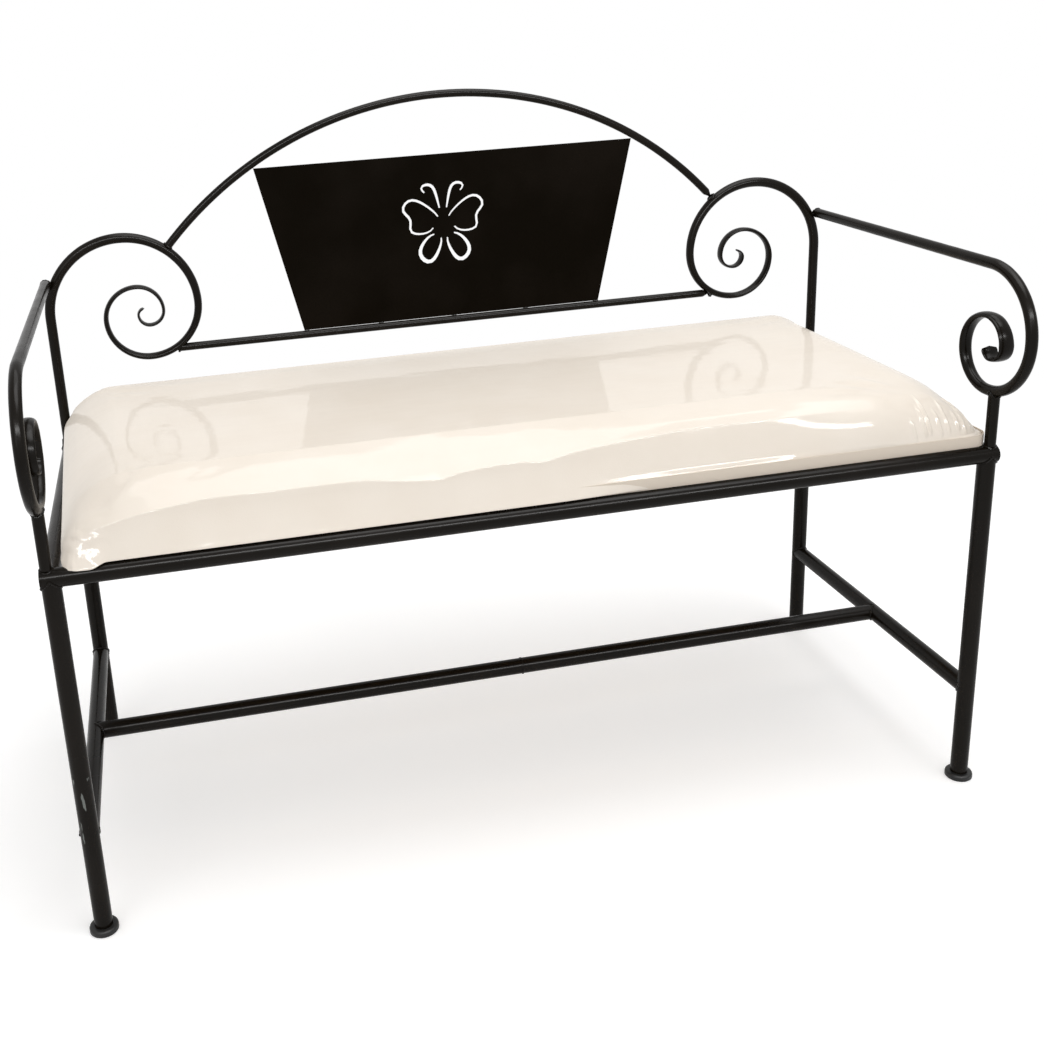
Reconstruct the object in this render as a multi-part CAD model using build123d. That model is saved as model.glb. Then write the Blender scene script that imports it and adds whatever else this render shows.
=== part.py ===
from build123d import *
from math import atan2, cos, degrees, radians, sin, sqrt
import os

# Wrought iron bench with an upholstered seat. Millimetres, +Z up, the back towards +Y,
# the feet on Z = 0, the two sides mirrored about X = 0.

# Frame of round steel tube
BENCH_W = 1000.0        # over the ends of the seat rails
BENCH_D = 409.0         # over the front and rear seat rails
SEAT_RAIL_TOP = 410.0   # top of the seat rails above the floor
STRETCHER_Z = 117.0     # centre line of the stretchers above the floor
TUBE_D = 19.05          # outside of every tube
TUBE_WALL = 1.5         # wall of every tube
CAP_T = 1.5             # discs that close the seat rails' ends

# Glides under the legs
FOOT_D = 30.0           # flange on the floor
FOOT_FLANGE = 7.0       # height of the flange
FOOT_BEVEL = 2.2        # bevelled rim of the flange
FOOT_STEM = 22.0        # length of the stem up the tube
STEM_PLAY = 0.3         # stem to bore, all round

# Bars and rods of the arms and the back
BAR_D = 12.0            # round bar of the arms, their posts and the back scrolls
ROD_D = 9.5             # round rod of the arch and the lower back rail
POST_INSET = 1.0        # outer side of a bar in from the end of the seat rail
SIDES_ROUND = 12        # hammer flats round a forged bar
WELD_GAP = 0.15         # fit-up gap at every welded joint

# Back scrolls: an upright bar that rolls inwards in quarter turns, hammered flat towards its end
BACK_TOP = 651.2        # centre of the bar at the crest of the scroll
BACK_CURL = 90.0        # radius of the first quarter turn
BACK_SHARES = (1, 0.944, 0.694, 0.539, 0.428, 0.339, 0.194, 0.144, 0.089)   # of each turn's radius
BACK_TIP_T = 3.0        # thickness of the flattened tip
BACK_TIP_W = 14.0       # width of the flattened tip

# Arms: a level bar that rolls down and under in quarter turns onto the arm post
ARM_Z = 604.5           # centre of the level bar
ARM_CURL = 71.0         # radius of the first quarter turn
ARM_SHARES = (1, 0.9, 0.585, 0.545, 0.41, 0.22, 0.17)   # of each turn's radius
ARM_SET = 14.0          # lowest point of the scroll behind the axis of its post
ARM_TIP_T = 3.0         # thickness of the fishtail tip
ARM_TIP_W = 19.0        # width of the fishtail tip

# Arch, lower rail and pierced panel of the back
ARCH_R = 466.5          # radius of the arch's centre line
ARCH_BANDS = 20         # straight bands that make up the arch
ARCH_CREST = 790.5      # centre of the rod at the top of the arch
LOWER_RAIL_Z = 511.0    # centre line of the lower back rail
PANEL_T = 1.5           # sheet of the panel
PANEL_TOP_W = 474.0     # width along the top edge
PANEL_FOOT_W = 383.0    # width along the bottom edge
PANEL_GAP = 0.7         # slit between the panel and the lower rail
TACKS = 5               # welds across that slit
TACK_D = 7.0            # length of a weld bead
TACK_T = 5.0            # its height and thickness
FIGURE_X = -8.0         # butterfly's axis off the middle of the panel
FIGURE_Z = 632.5        # butterfly's heart above the floor
STROKE_END = 1.8        # width of a cut stroke at its ends
FEELER_W = 3.6          # widest part of each stroke
UPPER_WING_W = 3.2
LOWER_WING_W = 5.0

# Seat: plywood board, and the foam with its cover drawn down round the board
PAD_H = 66.0            # crown of the pad above the rails
PAD_POST_GAP = 2.0      # pad to the posts at each end
PAD_FRONT = 8.0         # front edge ahead of the front rail's centre line
PAD_REAR = 2.0          # rear edge behind the rear rail's centre line
PAD_CORNER = 24.0       # plan radius of the corners at the widest line
CORNER_SPREAD = 36.0    # how much rounder the corners are where the roll ends
ROLL_FRONT = 46.0       # how far in the rolled upper edge runs at the front
ROLL_SIDE = 14.0        # at each end
ROLL_REAR = 9.0         # at the rear
PAD_BELLY = 22.0        # height of the widest line above the rails
PAD_TUCK = 5.0          # how far the sides draw in at the bottom
PAD_CROWN = 3.0         # rise of the top from its rolled edge to the flat middle
PAD_CROWN_RUN = 80.0    # run of that rise
BOARD_T = 12.0
BOARD_INSET = 9.0       # board in from the pad's widest line
SEAT_GAP = 0.3          # seat clear of the rails, and the foam clear of the board

# Places that follow from the sizes
TUBE_R = TUBE_D / 2
BORE_R = TUBE_R - TUBE_WALL
BAR_R = BAR_D / 2
ROD_R = ROD_D / 2
RAIL_Z = SEAT_RAIL_TOP - TUBE_R
LEG_X = BENCH_W / 2 - TUBE_R
POST_X = BENCH_W / 2 - POST_INSET - BAR_R
POST_FOOT_Z = SEAT_RAIL_TOP + WELD_GAP
HALF_D = BENCH_D / 2 - TUBE_R
PAD_W = 2 * (POST_X - BAR_R - PAD_POST_GAP)
PAD_D = 2 * HALF_D + PAD_FRONT + PAD_REAR
BACK_TURNS = [BACK_CURL * share for share in BACK_SHARES]
ARM_TURNS = [ARM_CURL * share for share in ARM_SHARES]
# The scrolls reach further out in front than the feet do behind; the frame is set back by half of that.
FRONT_REACH = HALF_D - ARM_SET + ARM_TURNS[1] + BAR_R
REAR_REACH = HALF_D + FOOT_D / 2
MID_Y = (FRONT_REACH - REAR_REACH) / 2
FRONT_Y = MID_Y - HALF_D
REAR_Y = MID_Y + HALF_D
SIDES = {"left": -1, "right": 1}
ENDS = {"front": FRONT_Y, "rear": REAR_Y}


def rod_between(a, b, radius):
    """Round rod from point a to point b."""
    run = Vector(*b) - Vector(*a)
    middle = (Vector(*a) + Vector(*b)) * 0.5
    return Plane(origin=middle, z_dir=run) * Cylinder(radius, run.length)


def tube_between(a, b):
    """Piece of the frame's tube from a to b."""
    return rod_between(a, b, TUBE_R) - rod_between(a, b, BORE_R)


def rail_rod(y, grow=0.0):
    """Solid outline of a front or rear seat rail, used to fit other pieces to it."""
    return rod_between((-BENCH_W / 2, y, RAIL_Z), (BENCH_W / 2, y, RAIL_Z), TUBE_R + grow)


def leg_rod(side, y, grow=0.0):
    """Solid outline of a leg up to the centre line of its rail."""
    return rod_between((side * LEG_X, y, 0), (side * LEG_X, y, RAIL_Z), TUBE_R + grow)


def side_rod(side, z, grow=0.0):
    """Solid outline of a side rail or side stretcher whose centre line is at z."""
    return rod_between((side * LEG_X, FRONT_Y, z), (side * LEG_X, REAR_Y, z), TUBE_R + grow)


def quarter_turns(start, heading, radii):
    """Stations on left-hand quarter circles in a row, each tangent to the one before.

    A station is a point, a heading in degrees and the count of quarter turns up to it.
    """
    stations = [(Vector(*start), heading, 0)]
    for number, radius in enumerate(radii):
        point, angle, _ = stations[-1]
        centre = point + Vector(-sin(radians(angle)), cos(radians(angle))) * radius
        bands = 4 + int(radius / 20)
        for band in range(1, bands + 1):
            share = band / bands
            turned = angle + 90 * share
            place = centre + Vector(sin(radians(turned)), -cos(radians(turned))) * radius
            stations.append((place, turned, number + share))
    return stations


def bar_face(half_t, half_w):
    """Section of a forged bar: an ellipse with SIDES_ROUND flats, measured across the flats."""
    half_angle = radians(180 / SIDES_ROUND)
    points = []
    for number in range(SIDES_ROUND):
        angle = half_angle * (2 * number + 1)
        points.append((half_t * cos(angle) / cos(half_angle), half_w * sin(angle) / cos(half_angle)))
    return make_face(Polyline(*points, close=True).edges())


def section_at(plane, point, angle, half_t, half_w):
    """The bar's section at a point of a plane, square to the heading there."""
    heading = plane.x_dir * cos(radians(angle)) + plane.y_dir * sin(radians(angle))
    across = plane.y_dir * cos(radians(angle)) - plane.x_dir * sin(radians(angle))
    place = Plane(origin=plane.from_local_coords(point), x_dir=across, z_dir=heading)
    return place * bar_face(half_t, half_w)


def forged_bar(plane, foot, stations, tip, plain, grow, turns):
    """Bar from its foot through the stations, round at first and hammered flat at its end.

    The first plain turns stay round; from there thickness and width run evenly to the tip's.
    A bar that is only needed to fit another piece to it stops after the stated turns.
    """
    flat_turns = stations[-1][2] - plain
    sections = []
    for point, angle, turned in [(Vector(*foot), stations[0][1], 0)] + stations:
        if turned <= turns:
            share = max(0, turned - plain) / flat_turns
            half_t = (BAR_D + (tip[0] - BAR_D) * share) / 2 + grow
            half_w = (BAR_D + (tip[1] - BAR_D) * share) / 2 + grow
            sections.append(section_at(plane, point, angle, half_t, half_w))
    return loft(sections, ruled=True)


def side_plane(side, y):
    """Upright plane across the bench at y, whose local x runs outwards on that side."""
    return Plane(origin=(0, y, 0), x_dir=(side, 0, 0), z_dir=(0, -side, 0))


BACK_START = BACK_TOP - BACK_TURNS[0]
BACK_STATIONS = quarter_turns((POST_X, BACK_START), 90, BACK_TURNS)


def back_scroll(side, grow=0.0, turns=len(BACK_TURNS)):
    """One side of the back: the upright on the rear rail and its scroll."""
    plane = side_plane(side, REAR_Y)
    return forged_bar(plane, (POST_X, POST_FOOT_Z), BACK_STATIONS, (BACK_TIP_T, BACK_TIP_W), 1, grow, turns)


# The bottom of an arm's scroll rests on its post over the front rail.
# In the arm's plane local x runs forwards and local y down.
ARM_BEND = -FRONT_Y - ARM_SET + ARM_TURNS[1] - ARM_TURNS[0]
ARM_FOOT_Z = ARM_Z - ARM_TURNS[0] - ARM_TURNS[1]
ARM_STATIONS = quarter_turns((ARM_BEND, -ARM_Z), 0, ARM_TURNS)


def arm_bar(side, grow=0.0, turns=len(ARM_TURNS)):
    """One arm: the level bar from the back scroll and its scroll over the front rail."""
    plane = Plane(origin=(side * POST_X, 0, 0), x_dir=(0, -1, 0), z_dir=(1, 0, 0))
    return forged_bar(plane, (-REAR_Y, -ARM_Z), ARM_STATIONS, (ARM_TIP_T, ARM_TIP_W), 2, grow, turns)


# Seat rails and stretchers
PARTS = {}
for end, y in ENDS.items():
    inner = BENCH_W / 2 - CAP_T - WELD_GAP
    PARTS[end + "_rail"] = tube_between((-inner, y, RAIL_Z), (inner, y, RAIL_Z))
caps = []
for side in SIDES.values():
    tip = side * BENCH_W / 2
    for y in ENDS.values():
        caps.append(rod_between((tip - side * CAP_T, y, RAIL_Z), (tip, y, RAIL_Z), TUBE_R))
PARTS["rail_end_caps"] = Compound(children=caps)
for name, side in SIDES.items():
    x = side * LEG_X
    rail = tube_between((x, FRONT_Y, RAIL_Z), (x, REAR_Y, RAIL_Z))
    stretcher = tube_between((x, FRONT_Y, STRETCHER_Z), (x, REAR_Y, STRETCHER_Z))
    for y in ENDS.values():
        rail = rail - rail_rod(y, WELD_GAP) - leg_rod(side, y, WELD_GAP)
        stretcher = stretcher - leg_rod(side, y, WELD_GAP)
    PARTS["side_rail_" + name] = rail
    PARTS["side_stretcher_" + name] = stretcher
centre = tube_between((-LEG_X, MID_Y, STRETCHER_Z), (LEG_X, MID_Y, STRETCHER_Z))
for side in SIDES.values():
    centre = centre - side_rod(side, STRETCHER_Z, WELD_GAP)
PARTS["centre_stretcher"] = centre

# Legs, notched round the underside of their rails, on flanged glides
flange = Cylinder(FOOT_D / 2, FOOT_FLANGE, align=(Align.CENTER, Align.CENTER, Align.MIN))
flange = chamfer(flange.edges().filter_by(GeomType.CIRCLE).sort_by(Axis.Z)[-1], FOOT_BEVEL)
stem = Pos(0, 0, FOOT_FLANGE) * Cylinder(BORE_R - STEM_PLAY, FOOT_STEM,
                                         align=(Align.CENTER, Align.CENTER, Align.MIN))
glide = flange + stem
glides = []
for end, y in ENDS.items():
    for name, side in SIDES.items():
        x = side * LEG_X
        leg = tube_between((x, y, FOOT_FLANGE), (x, y, RAIL_Z)) - rail_rod(y, WELD_GAP)
        PARTS[end + "_leg_" + name] = leg
        glides.append(Pos(x, y, 0) * glide)
PARTS["leg_glides"] = Compound(children=glides)

# Arms on their posts; posts and back scrolls stand with square-cut ends on the seat rails
posts = []
for name, side in SIDES.items():
    x = side * POST_X
    post = rod_between((x, FRONT_Y, POST_FOOT_Z), (x, FRONT_Y, ARM_FOOT_Z), BAR_R)
    posts.append(post - arm_bar(side, WELD_GAP, 3))
    PARTS["arm_" + name] = arm_bar(side) - back_scroll(side, WELD_GAP, 1)
    PARTS["back_scroll_" + name] = back_scroll(side)
PARTS["arm_posts"] = Compound(children=posts)


def circles_meet(c1, r1, c2, r2):
    """Upper meeting point of two circles."""
    gap = c2 - c1
    along = (r1 * r1 - r2 * r2 + gap.length ** 2) / (2 * gap.length)
    across = sqrt(r1 * r1 - along * along)
    unit = gap.normalized()
    points = [c1 + unit * along + Vector(-unit.Y, unit.X) * k for k in (across, -across)]
    return max(points, key=lambda p: p.Y)


# Arch and lower rail, both let into the sides of the scrolls
ARCH_Z = ARCH_CREST - ARCH_R
back_plane = side_plane(1, REAR_Y)
scroll_centre = Vector(POST_X - BACK_TURNS[0], BACK_TOP - BACK_TURNS[1])
meet = circles_meet(Vector(0, ARCH_Z), ARCH_R, scroll_centre, BACK_TURNS[1])
spring = degrees(atan2(meet.Y - ARCH_Z, meet.X))
arch_sections = []
for band in range(ARCH_BANDS + 1):
    angle = spring + (180 - 2 * spring) * band / ARCH_BANDS
    point = Vector(ARCH_R * cos(radians(angle)), ARCH_Z + ARCH_R * sin(radians(angle)))
    arch_sections.append(section_at(back_plane, point, angle + 90, ROD_R, ROD_R))
arch = loft(arch_sections, ruled=True)
lower_centre = scroll_centre - Vector(BACK_TURNS[1] - BACK_TURNS[2], 0)
lower_half = lower_centre.X - sqrt(BACK_TURNS[2] ** 2 - (LOWER_RAIL_Z - lower_centre.Y) ** 2)
left, right = [(tip, REAR_Y, LOWER_RAIL_Z) for tip in (-lower_half, lower_half)]
lower = rod_between(left, right, ROD_R)
for side in SIDES.values():
    arch = arch - back_scroll(side, WELD_GAP, 2)
    lower = lower - back_scroll(side, WELD_GAP, 3)
PARTS["back_arch"] = arch
PARTS["lower_back_rail"] = lower


def stroke(points, belly):
    """Cut line through the points, pointed to STROKE_END at both ends and belly wide half way."""
    line = Spline(*points)
    count = 3 * len(points)
    flanks = {1: [], -1: []}
    for number in range(count + 1):
        share = number / count
        half = (STROKE_END + (belly - STROKE_END) * sin(radians(180 * share))) / 2
        heading = line % share
        for hand, flank in flanks.items():
            flank.append(line @ share + Vector(-heading.Y, heading.X) * half * hand)
    return make_face(Polyline(*flanks[1], *reversed(flanks[-1]), close=True).edges())


# Half of the butterfly: feeler with a curled tip, notched upper wing, drop-shaped lower wing
FEELER = ((4.5, 21), (8, 37), (17, 50.5), (25.5, 48.5), (22.5, 41))
UPPER_WING = ((7, 10.5), (22, 25.5), (45, 31.5), (50.5, 22), (42, 9), (42, -4.5), (30, -9.3), (13.5, -3))
LOWER_WING = ((12.5, -11), (27.5, -22), (31, -36), (21, -45), (9, -34), (4, -16))
BELLIES = {FEELER: FEELER_W, UPPER_WING: UPPER_WING_W, LOWER_WING: LOWER_WING_W}

# Panel, its upper corners against the arch and its foot above the lower rail
panel_foot = LOWER_RAIL_Z + ROD_R + PANEL_GAP
arch_inside = ARCH_R * cos(radians((90 - spring) / ARCH_BANDS)) - ROD_R - WELD_GAP
panel_top = ARCH_Z + sqrt(arch_inside ** 2 - (PANEL_TOP_W / 2) ** 2)
outline = Polyline((-PANEL_FOOT_W / 2, panel_foot), (PANEL_FOOT_W / 2, panel_foot),
                   (PANEL_TOP_W / 2, panel_top), (-PANEL_TOP_W / 2, panel_top), close=True)
figure = []
for points, belly in BELLIES.items():
    for hand in (1, -1):
        figure.append(stroke([(FIGURE_X + hand * u, FIGURE_Z + v) for u, v in points], belly))
sheet = make_face(outline.edges())
for cut in figure:
    sheet = sheet - cut
PARTS["back_panel"] = extrude(back_plane * sheet, amount=PANEL_T / 2, both=True)

# Tack welds between the panel's foot and the lower rail
tacks = []
pitch = (PANEL_FOOT_W - TACK_D) / (TACKS - 1)
slot = Box(PANEL_FOOT_W, PANEL_T + 2 * WELD_GAP, TACK_T, align=(Align.CENTER, Align.CENTER, Align.MIN))
slot = Pos(0, REAR_Y, panel_foot - WELD_GAP) * slot
round_rail = rod_between(left, right, ROD_R + WELD_GAP)
for number in range(TACKS):
    x = (number - (TACKS - 1) / 2) * pitch
    bead = Pos(x, REAR_Y, panel_foot) * Box(TACK_D, TACK_T, TACK_T)
    tacks.append(bead - slot - round_rail)
PARTS["panel_tack_welds"] = Compound(children=tacks)

# Seat board and pad
seat_z = SEAT_RAIL_TOP + SEAT_GAP
pad_y = FRONT_Y - PAD_FRONT + PAD_D / 2


def pad_outline(height, roll, draw):
    """Plan of the pad at a height above the rails: a share of the roll, and drawn in all round."""
    half_w = PAD_W / 2 - ROLL_SIDE * roll - draw
    front = pad_y - PAD_D / 2 + ROLL_FRONT * roll + draw
    rear = pad_y + PAD_D / 2 - ROLL_REAR * roll - draw
    plan = RectangleRounded(2 * half_w, rear - front, PAD_CORNER + CORNER_SPREAD * roll)
    return Pos(0, (front + rear) / 2, SEAT_RAIL_TOP + height) * plan


# The sides swell from the tucked bottom to the widest line, roll over the upper edge and rise to the crown.
roll_top = PAD_H - PAD_CROWN
sections = []
for angle in (0, 30, 60):
    height = SEAT_GAP + (PAD_BELLY - SEAT_GAP) * sin(radians(angle))
    sections.append(pad_outline(height, 0, PAD_TUCK * (1 - sin(radians(angle))) ** 2))
for angle in range(0, 90, 15):
    rise = (roll_top - PAD_BELLY) * sin(radians(angle))
    sections.append(pad_outline(PAD_BELLY + rise, 1 - cos(radians(angle)), 0))
for share in (0.25, 0.6, 1):
    rise = PAD_CROWN * (1 - (1 - share) ** 2)
    sections.append(pad_outline(roll_top + rise, 1, PAD_CROWN_RUN * share))
pad = loft(sections, ruled=True)
board_w = PAD_W - 2 * BOARD_INSET
board_d = PAD_D - 2 * BOARD_INSET
board = Box(board_w, board_d, BOARD_T, align=(Align.CENTER, Align.CENTER, Align.MIN))
board = fillet(board.edges().filter_by(Axis.Z), PAD_CORNER - BOARD_INSET)
recess = Box(board_w + 2 * SEAT_GAP, board_d + 2 * SEAT_GAP, BOARD_T + SEAT_GAP,
             align=(Align.CENTER, Align.CENTER, Align.MIN))
recess = fillet(recess.edges().filter_by(Axis.Z), PAD_CORNER - BOARD_INSET + SEAT_GAP)
PARTS["seat_board"] = Pos(0, pad_y, seat_z) * board
PARTS["seat_pad"] = pad - Pos(0, pad_y, seat_z) * recess

os.makedirs("parts", exist_ok=True)
for name, part in PARTS.items():
    export_step(part, "parts/" + name + ".step")
    print(name, round(part.volume / 1000, 2), "cm3")
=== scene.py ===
import bmesh
import bpy
import math
import mathutils
import numpy as np
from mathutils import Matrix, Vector


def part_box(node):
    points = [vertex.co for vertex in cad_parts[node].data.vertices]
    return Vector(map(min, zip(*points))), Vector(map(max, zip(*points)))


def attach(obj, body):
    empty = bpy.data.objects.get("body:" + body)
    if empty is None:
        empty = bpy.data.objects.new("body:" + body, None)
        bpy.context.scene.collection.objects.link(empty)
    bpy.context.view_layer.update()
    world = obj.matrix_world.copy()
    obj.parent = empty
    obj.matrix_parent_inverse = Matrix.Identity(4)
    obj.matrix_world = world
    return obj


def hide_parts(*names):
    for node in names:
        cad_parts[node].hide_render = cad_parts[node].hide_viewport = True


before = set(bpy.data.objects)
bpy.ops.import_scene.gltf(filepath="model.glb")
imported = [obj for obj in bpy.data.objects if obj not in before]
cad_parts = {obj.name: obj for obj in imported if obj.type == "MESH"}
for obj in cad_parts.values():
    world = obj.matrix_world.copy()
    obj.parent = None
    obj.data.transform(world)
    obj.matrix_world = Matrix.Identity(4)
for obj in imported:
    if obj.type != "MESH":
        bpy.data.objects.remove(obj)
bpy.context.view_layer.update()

# %% [markdown]
# A wrought iron bench. Black enamelled tubes carry the seat, forged bars roll into scrolls for the
# arms and the back, and a sheet panel with a cut-out butterfly hangs under an arch. The seat is a
# foam pad in cream cloth with a clear film still over it. The solids of the part are the frame of
# this scene: every piece below takes its place from them.

# %% Places read from the solids
def middle(node):
    """Centre of a node's box."""
    low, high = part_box(node)
    return (low + high) / 2


def size(node):
    """Lengths of a node's box."""
    low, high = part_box(node)
    return high - low


TUBE_R = size("front_rail").z / 2
RAIL_Z = middle("front_rail").z
RAIL_END = size("front_rail").x / 2
FRONT_Y = middle("front_rail").y
REAR_Y = middle("rear_rail").y
LEG_X = middle("front_leg_right").x
STRETCHER_Z = middle("centre_stretcher").z
LEG_FOOT_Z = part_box("front_leg_left")[0].z
BAR_R = size("arm_posts").y / 2
POST_X = size("arm_posts").x / 2 - BAR_R
POST_FOOT_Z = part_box("arm_posts")[0].z
ROD_R = size("lower_back_rail").z / 2
LOWER_Z = middle("lower_back_rail").z
SEAT_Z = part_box("seat_board")[0].z
SIDES = {"left": -1, "right": 1}
ENDS = {"front": FRONT_Y, "rear": REAR_Y}
print(f"tube {TUBE_R * 2000:.2f} mm, bar {BAR_R * 2000:.1f} mm, rod {ROD_R * 2000:.1f} mm")

# %% [markdown]
# Node trees are built in the script. Two small helpers keep them readable: `calc` adds a Math node
# and `vec` a Vector Math node, and both take numbers or sockets.

# %% Helpers for node trees
def put(tree, socket, value):
    """Links a socket to an input, or types a value into it."""
    if isinstance(value, bpy.types.NodeSocket):
        tree.links.new(value, socket)
    else:
        socket.default_value = value


def calc(tree, operation, *values):
    node = tree.nodes.new("ShaderNodeMath")
    node.operation = operation
    for socket, value in zip(node.inputs, values):
        put(tree, socket, value)
    return node.outputs[0]


def vec(tree, operation, *values):
    node = tree.nodes.new("ShaderNodeVectorMath")
    node.operation = operation
    sockets = [node.inputs[0], node.inputs["Scale"]] if operation == "SCALE" else node.inputs
    for socket, value in zip(sockets, values):
        put(tree, socket, value)
    return node.outputs["Value" if operation in ("DOT_PRODUCT", "LENGTH") else "Vector"]


def add(tree, kind, settings=None, **values):
    """Adds a node, sets its own settings, and fills inputs by name (spaces written as _)."""
    node = tree.nodes.new(kind)
    for name, value in (settings or {}).items():
        setattr(node, name, value)
    for name, value in values.items():
        put(tree, node.inputs[name.replace("_", " ")], value)
    return node


# %% [markdown]
# Each geometry tree has its sizes as named inputs, so one tree serves pieces of several sizes. Every
# tree ends the same way: smooth faces, real geometry in place of instances, and the material.

# %% Trees with named inputs
SOCKETS = {float: "NodeSocketFloat", int: "NodeSocketInt", tuple: "NodeSocketVector"}


def new_tree(name, sizes):
    """A geometry tree with a geometry input, one named input per size, and a geometry output."""
    tree = bpy.data.node_groups.new(name, "GeometryNodeTree")
    tree.interface.new_socket("Geometry", in_out="INPUT", socket_type="NodeSocketGeometry")
    for label, value in sizes.items():
        socket = tree.interface.new_socket(label, in_out="INPUT", socket_type=SOCKETS[type(value)])
        socket.default_value = value
    tree.interface.new_socket("Material", in_out="INPUT", socket_type="NodeSocketMaterial")
    tree.interface.new_socket("Geometry", in_out="OUTPUT", socket_type="NodeSocketGeometry")
    return tree, tree.nodes.new("NodeGroupInput").outputs, tree.nodes.new("NodeGroupOutput").inputs[0]


def close_tree(tree, geometry, material, out):
    """Every tree ends in real geometry with its material."""
    smooth = add(tree, "GeometryNodeSetShadeSmooth", Geometry=geometry)
    real = add(tree, "GeometryNodeRealizeInstances", Geometry=smooth.outputs[0])
    dressed = add(tree, "GeometryNodeSetMaterial", Geometry=real.outputs[0], Material=material)
    tree.links.new(dressed.outputs[0], out)


def model_of(tree, model):
    """Geometry of another object."""
    info = tree.nodes.new("GeometryNodeObjectInfo")
    info.inputs["Object"].default_value = model
    return info.outputs["Geometry"]


# %% [markdown]
# A tree could stay on its piece as a modifier. Here its result is kept as a plain mesh instead, with
# the place of the piece in the mesh, so that patterns on object coordinates stay where they are.

# %% From a tree to a plain mesh
SHARP = math.radians(40)


def make(name, source, tree, material, **sizes):
    """Runs a tree on an object's data and keeps the result as a plain mesh object."""
    holder = bpy.data.objects.new(name + "_source", source)
    bpy.context.scene.collection.objects.link(holder)
    modifier = holder.modifiers.new("tree", "NODES")
    modifier.node_group = tree
    ids = {item.name: item.identifier for item in tree.interface.items_tree if item.in_out == "INPUT"}
    modifier[ids["Material"]] = material
    for label, value in sizes.items():
        modifier[ids[label.replace("_", " ")]] = value
    evaluated = holder.evaluated_get(bpy.context.evaluated_depsgraph_get())
    mesh = bpy.data.meshes.new_from_object(evaluated)
    holder.modifiers.clear()
    bpy.data.objects.remove(holder)
    return finish_mesh(name, mesh)


def mesh_from(name, shape):
    """Turns an edited shape into a mesh and frees it."""
    mesh = bpy.data.meshes.new(name)
    shape.to_mesh(mesh)
    shape.free()
    return mesh


def finish_mesh(name, mesh):
    """Faces turned outwards, sharp rims kept sharp, one object at the origin."""
    shape = bmesh.new()
    shape.from_mesh(mesh)
    bmesh.ops.recalc_face_normals(shape, faces=shape.faces)
    shape.to_mesh(mesh)
    shape.free()
    mesh.shade_smooth()
    mesh.set_sharp_from_angle(angle=SHARP)
    mesh.name = name
    piece = bpy.data.objects.new(name, mesh)
    bpy.context.scene.collection.objects.link(piece)
    return piece


# %% Paths, and seats on the body
def path_curve(name, lines):
    """A curve with one poly spline per list of points."""
    curve = bpy.data.curves.new(name, "CURVE")
    curve.dimensions = "3D"
    for points, closed in lines:
        spline = curve.splines.new("POLY")
        spline.points.add(len(points) - 1)
        for place, point in zip(spline.points, points):
            place.co = (*point, 1)
            place.radius = 1.0
        spline.use_cyclic_u = closed
    return curve


def dress(piece, slot, *nodes):
    """Seats a finished piece on the bench's one body and hides the solids that it stands for."""
    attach(piece, "root")
    if nodes:
        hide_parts(*nodes)
    return piece


# %% [markdown]
# The paint is black brushed or sprayed enamel over steel: dark, a little brown, glossy enough for
# thin bright lines along every tube, and flatter on the sheet of the panel. A small noise on the
# roughness and a fine bump stand for the orange-peel of such paint. Where it has been knocked, grey
# primer shows in a few scratches low on the front left leg, so the mask for them is a box round that
# place times thin noise streaks.

# %% Material helpers
def new_material(name, base, roughness):
    material = bpy.data.materials.new(name)
    material.use_nodes = True
    tree = material.node_tree
    shader = tree.nodes["Principled BSDF"]
    shader.inputs["Base Color"].default_value = (*base, 1)
    shader.inputs["Roughness"].default_value = roughness
    place = tree.nodes.new("ShaderNodeTexCoord").outputs["Object"]
    return material, tree, shader, place


def noise(tree, place, scale, detail=2.0, stretch=(1, 1, 1)):
    """Noise on object coordinates, stretched along an axis where wanted."""
    mapped = add(tree, "ShaderNodeMapping", Vector=place, Scale=stretch).outputs[0]
    return add(tree, "ShaderNodeTexNoise", Vector=mapped, Scale=scale, Detail=detail).outputs["Fac"]


def ramp(tree, value, low, high, to_low=0.0, to_high=1.0):
    node = add(tree, "ShaderNodeMapRange", Value=value)
    for name, number in (("From Min", low), ("From Max", high), ("To Min", to_low), ("To Max", to_high)):
        node.inputs[name].default_value = number
    return node.outputs[0]


def blend_colour(tree, share, first, second):
    node = add(tree, "ShaderNodeMix", {"data_type": "RGBA"})
    put(tree, node.inputs[0], share)
    put(tree, node.inputs[6], first if isinstance(first, bpy.types.NodeSocket) else (*first, 1))
    put(tree, node.inputs[7], second if isinstance(second, bpy.types.NodeSocket) else (*second, 1))
    return node.outputs[2]


def bump(tree, height, distance, strength=1.0):
    return add(tree, "ShaderNodeBump", Height=height, Distance=distance, Strength=strength).outputs[0]


# %% Black enamel
ENAMEL_BLACK = (0.0040, 0.0027, 0.0013)
ENAMEL_WORN = (0.0075, 0.0054, 0.0036)
PRIMER_GREY = (0.16, 0.17, 0.16)
GLOSS_ROUGH = 0.18
SCRATCH_LOW = Vector((-LEG_X - 0.015, FRONT_Y - 0.015, 0.105))
SCRATCH_HIGH = Vector((-LEG_X + 0.015, FRONT_Y + 0.015, 0.185))


def inside(tree, place, low, high):
    """1 inside a box, 0 outside."""
    parts = add(tree, "ShaderNodeSeparateXYZ", Vector=place).outputs
    share = 1.0
    for part, a, b in zip(parts, low, high):
        for wall, sign in ((a, 1), (b, -1)):
            step = calc(tree, "GREATER_THAN", calc(tree, "MULTIPLY", part, sign), wall * sign)
            share = calc(tree, "MULTIPLY", share, step)
    return share


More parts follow.
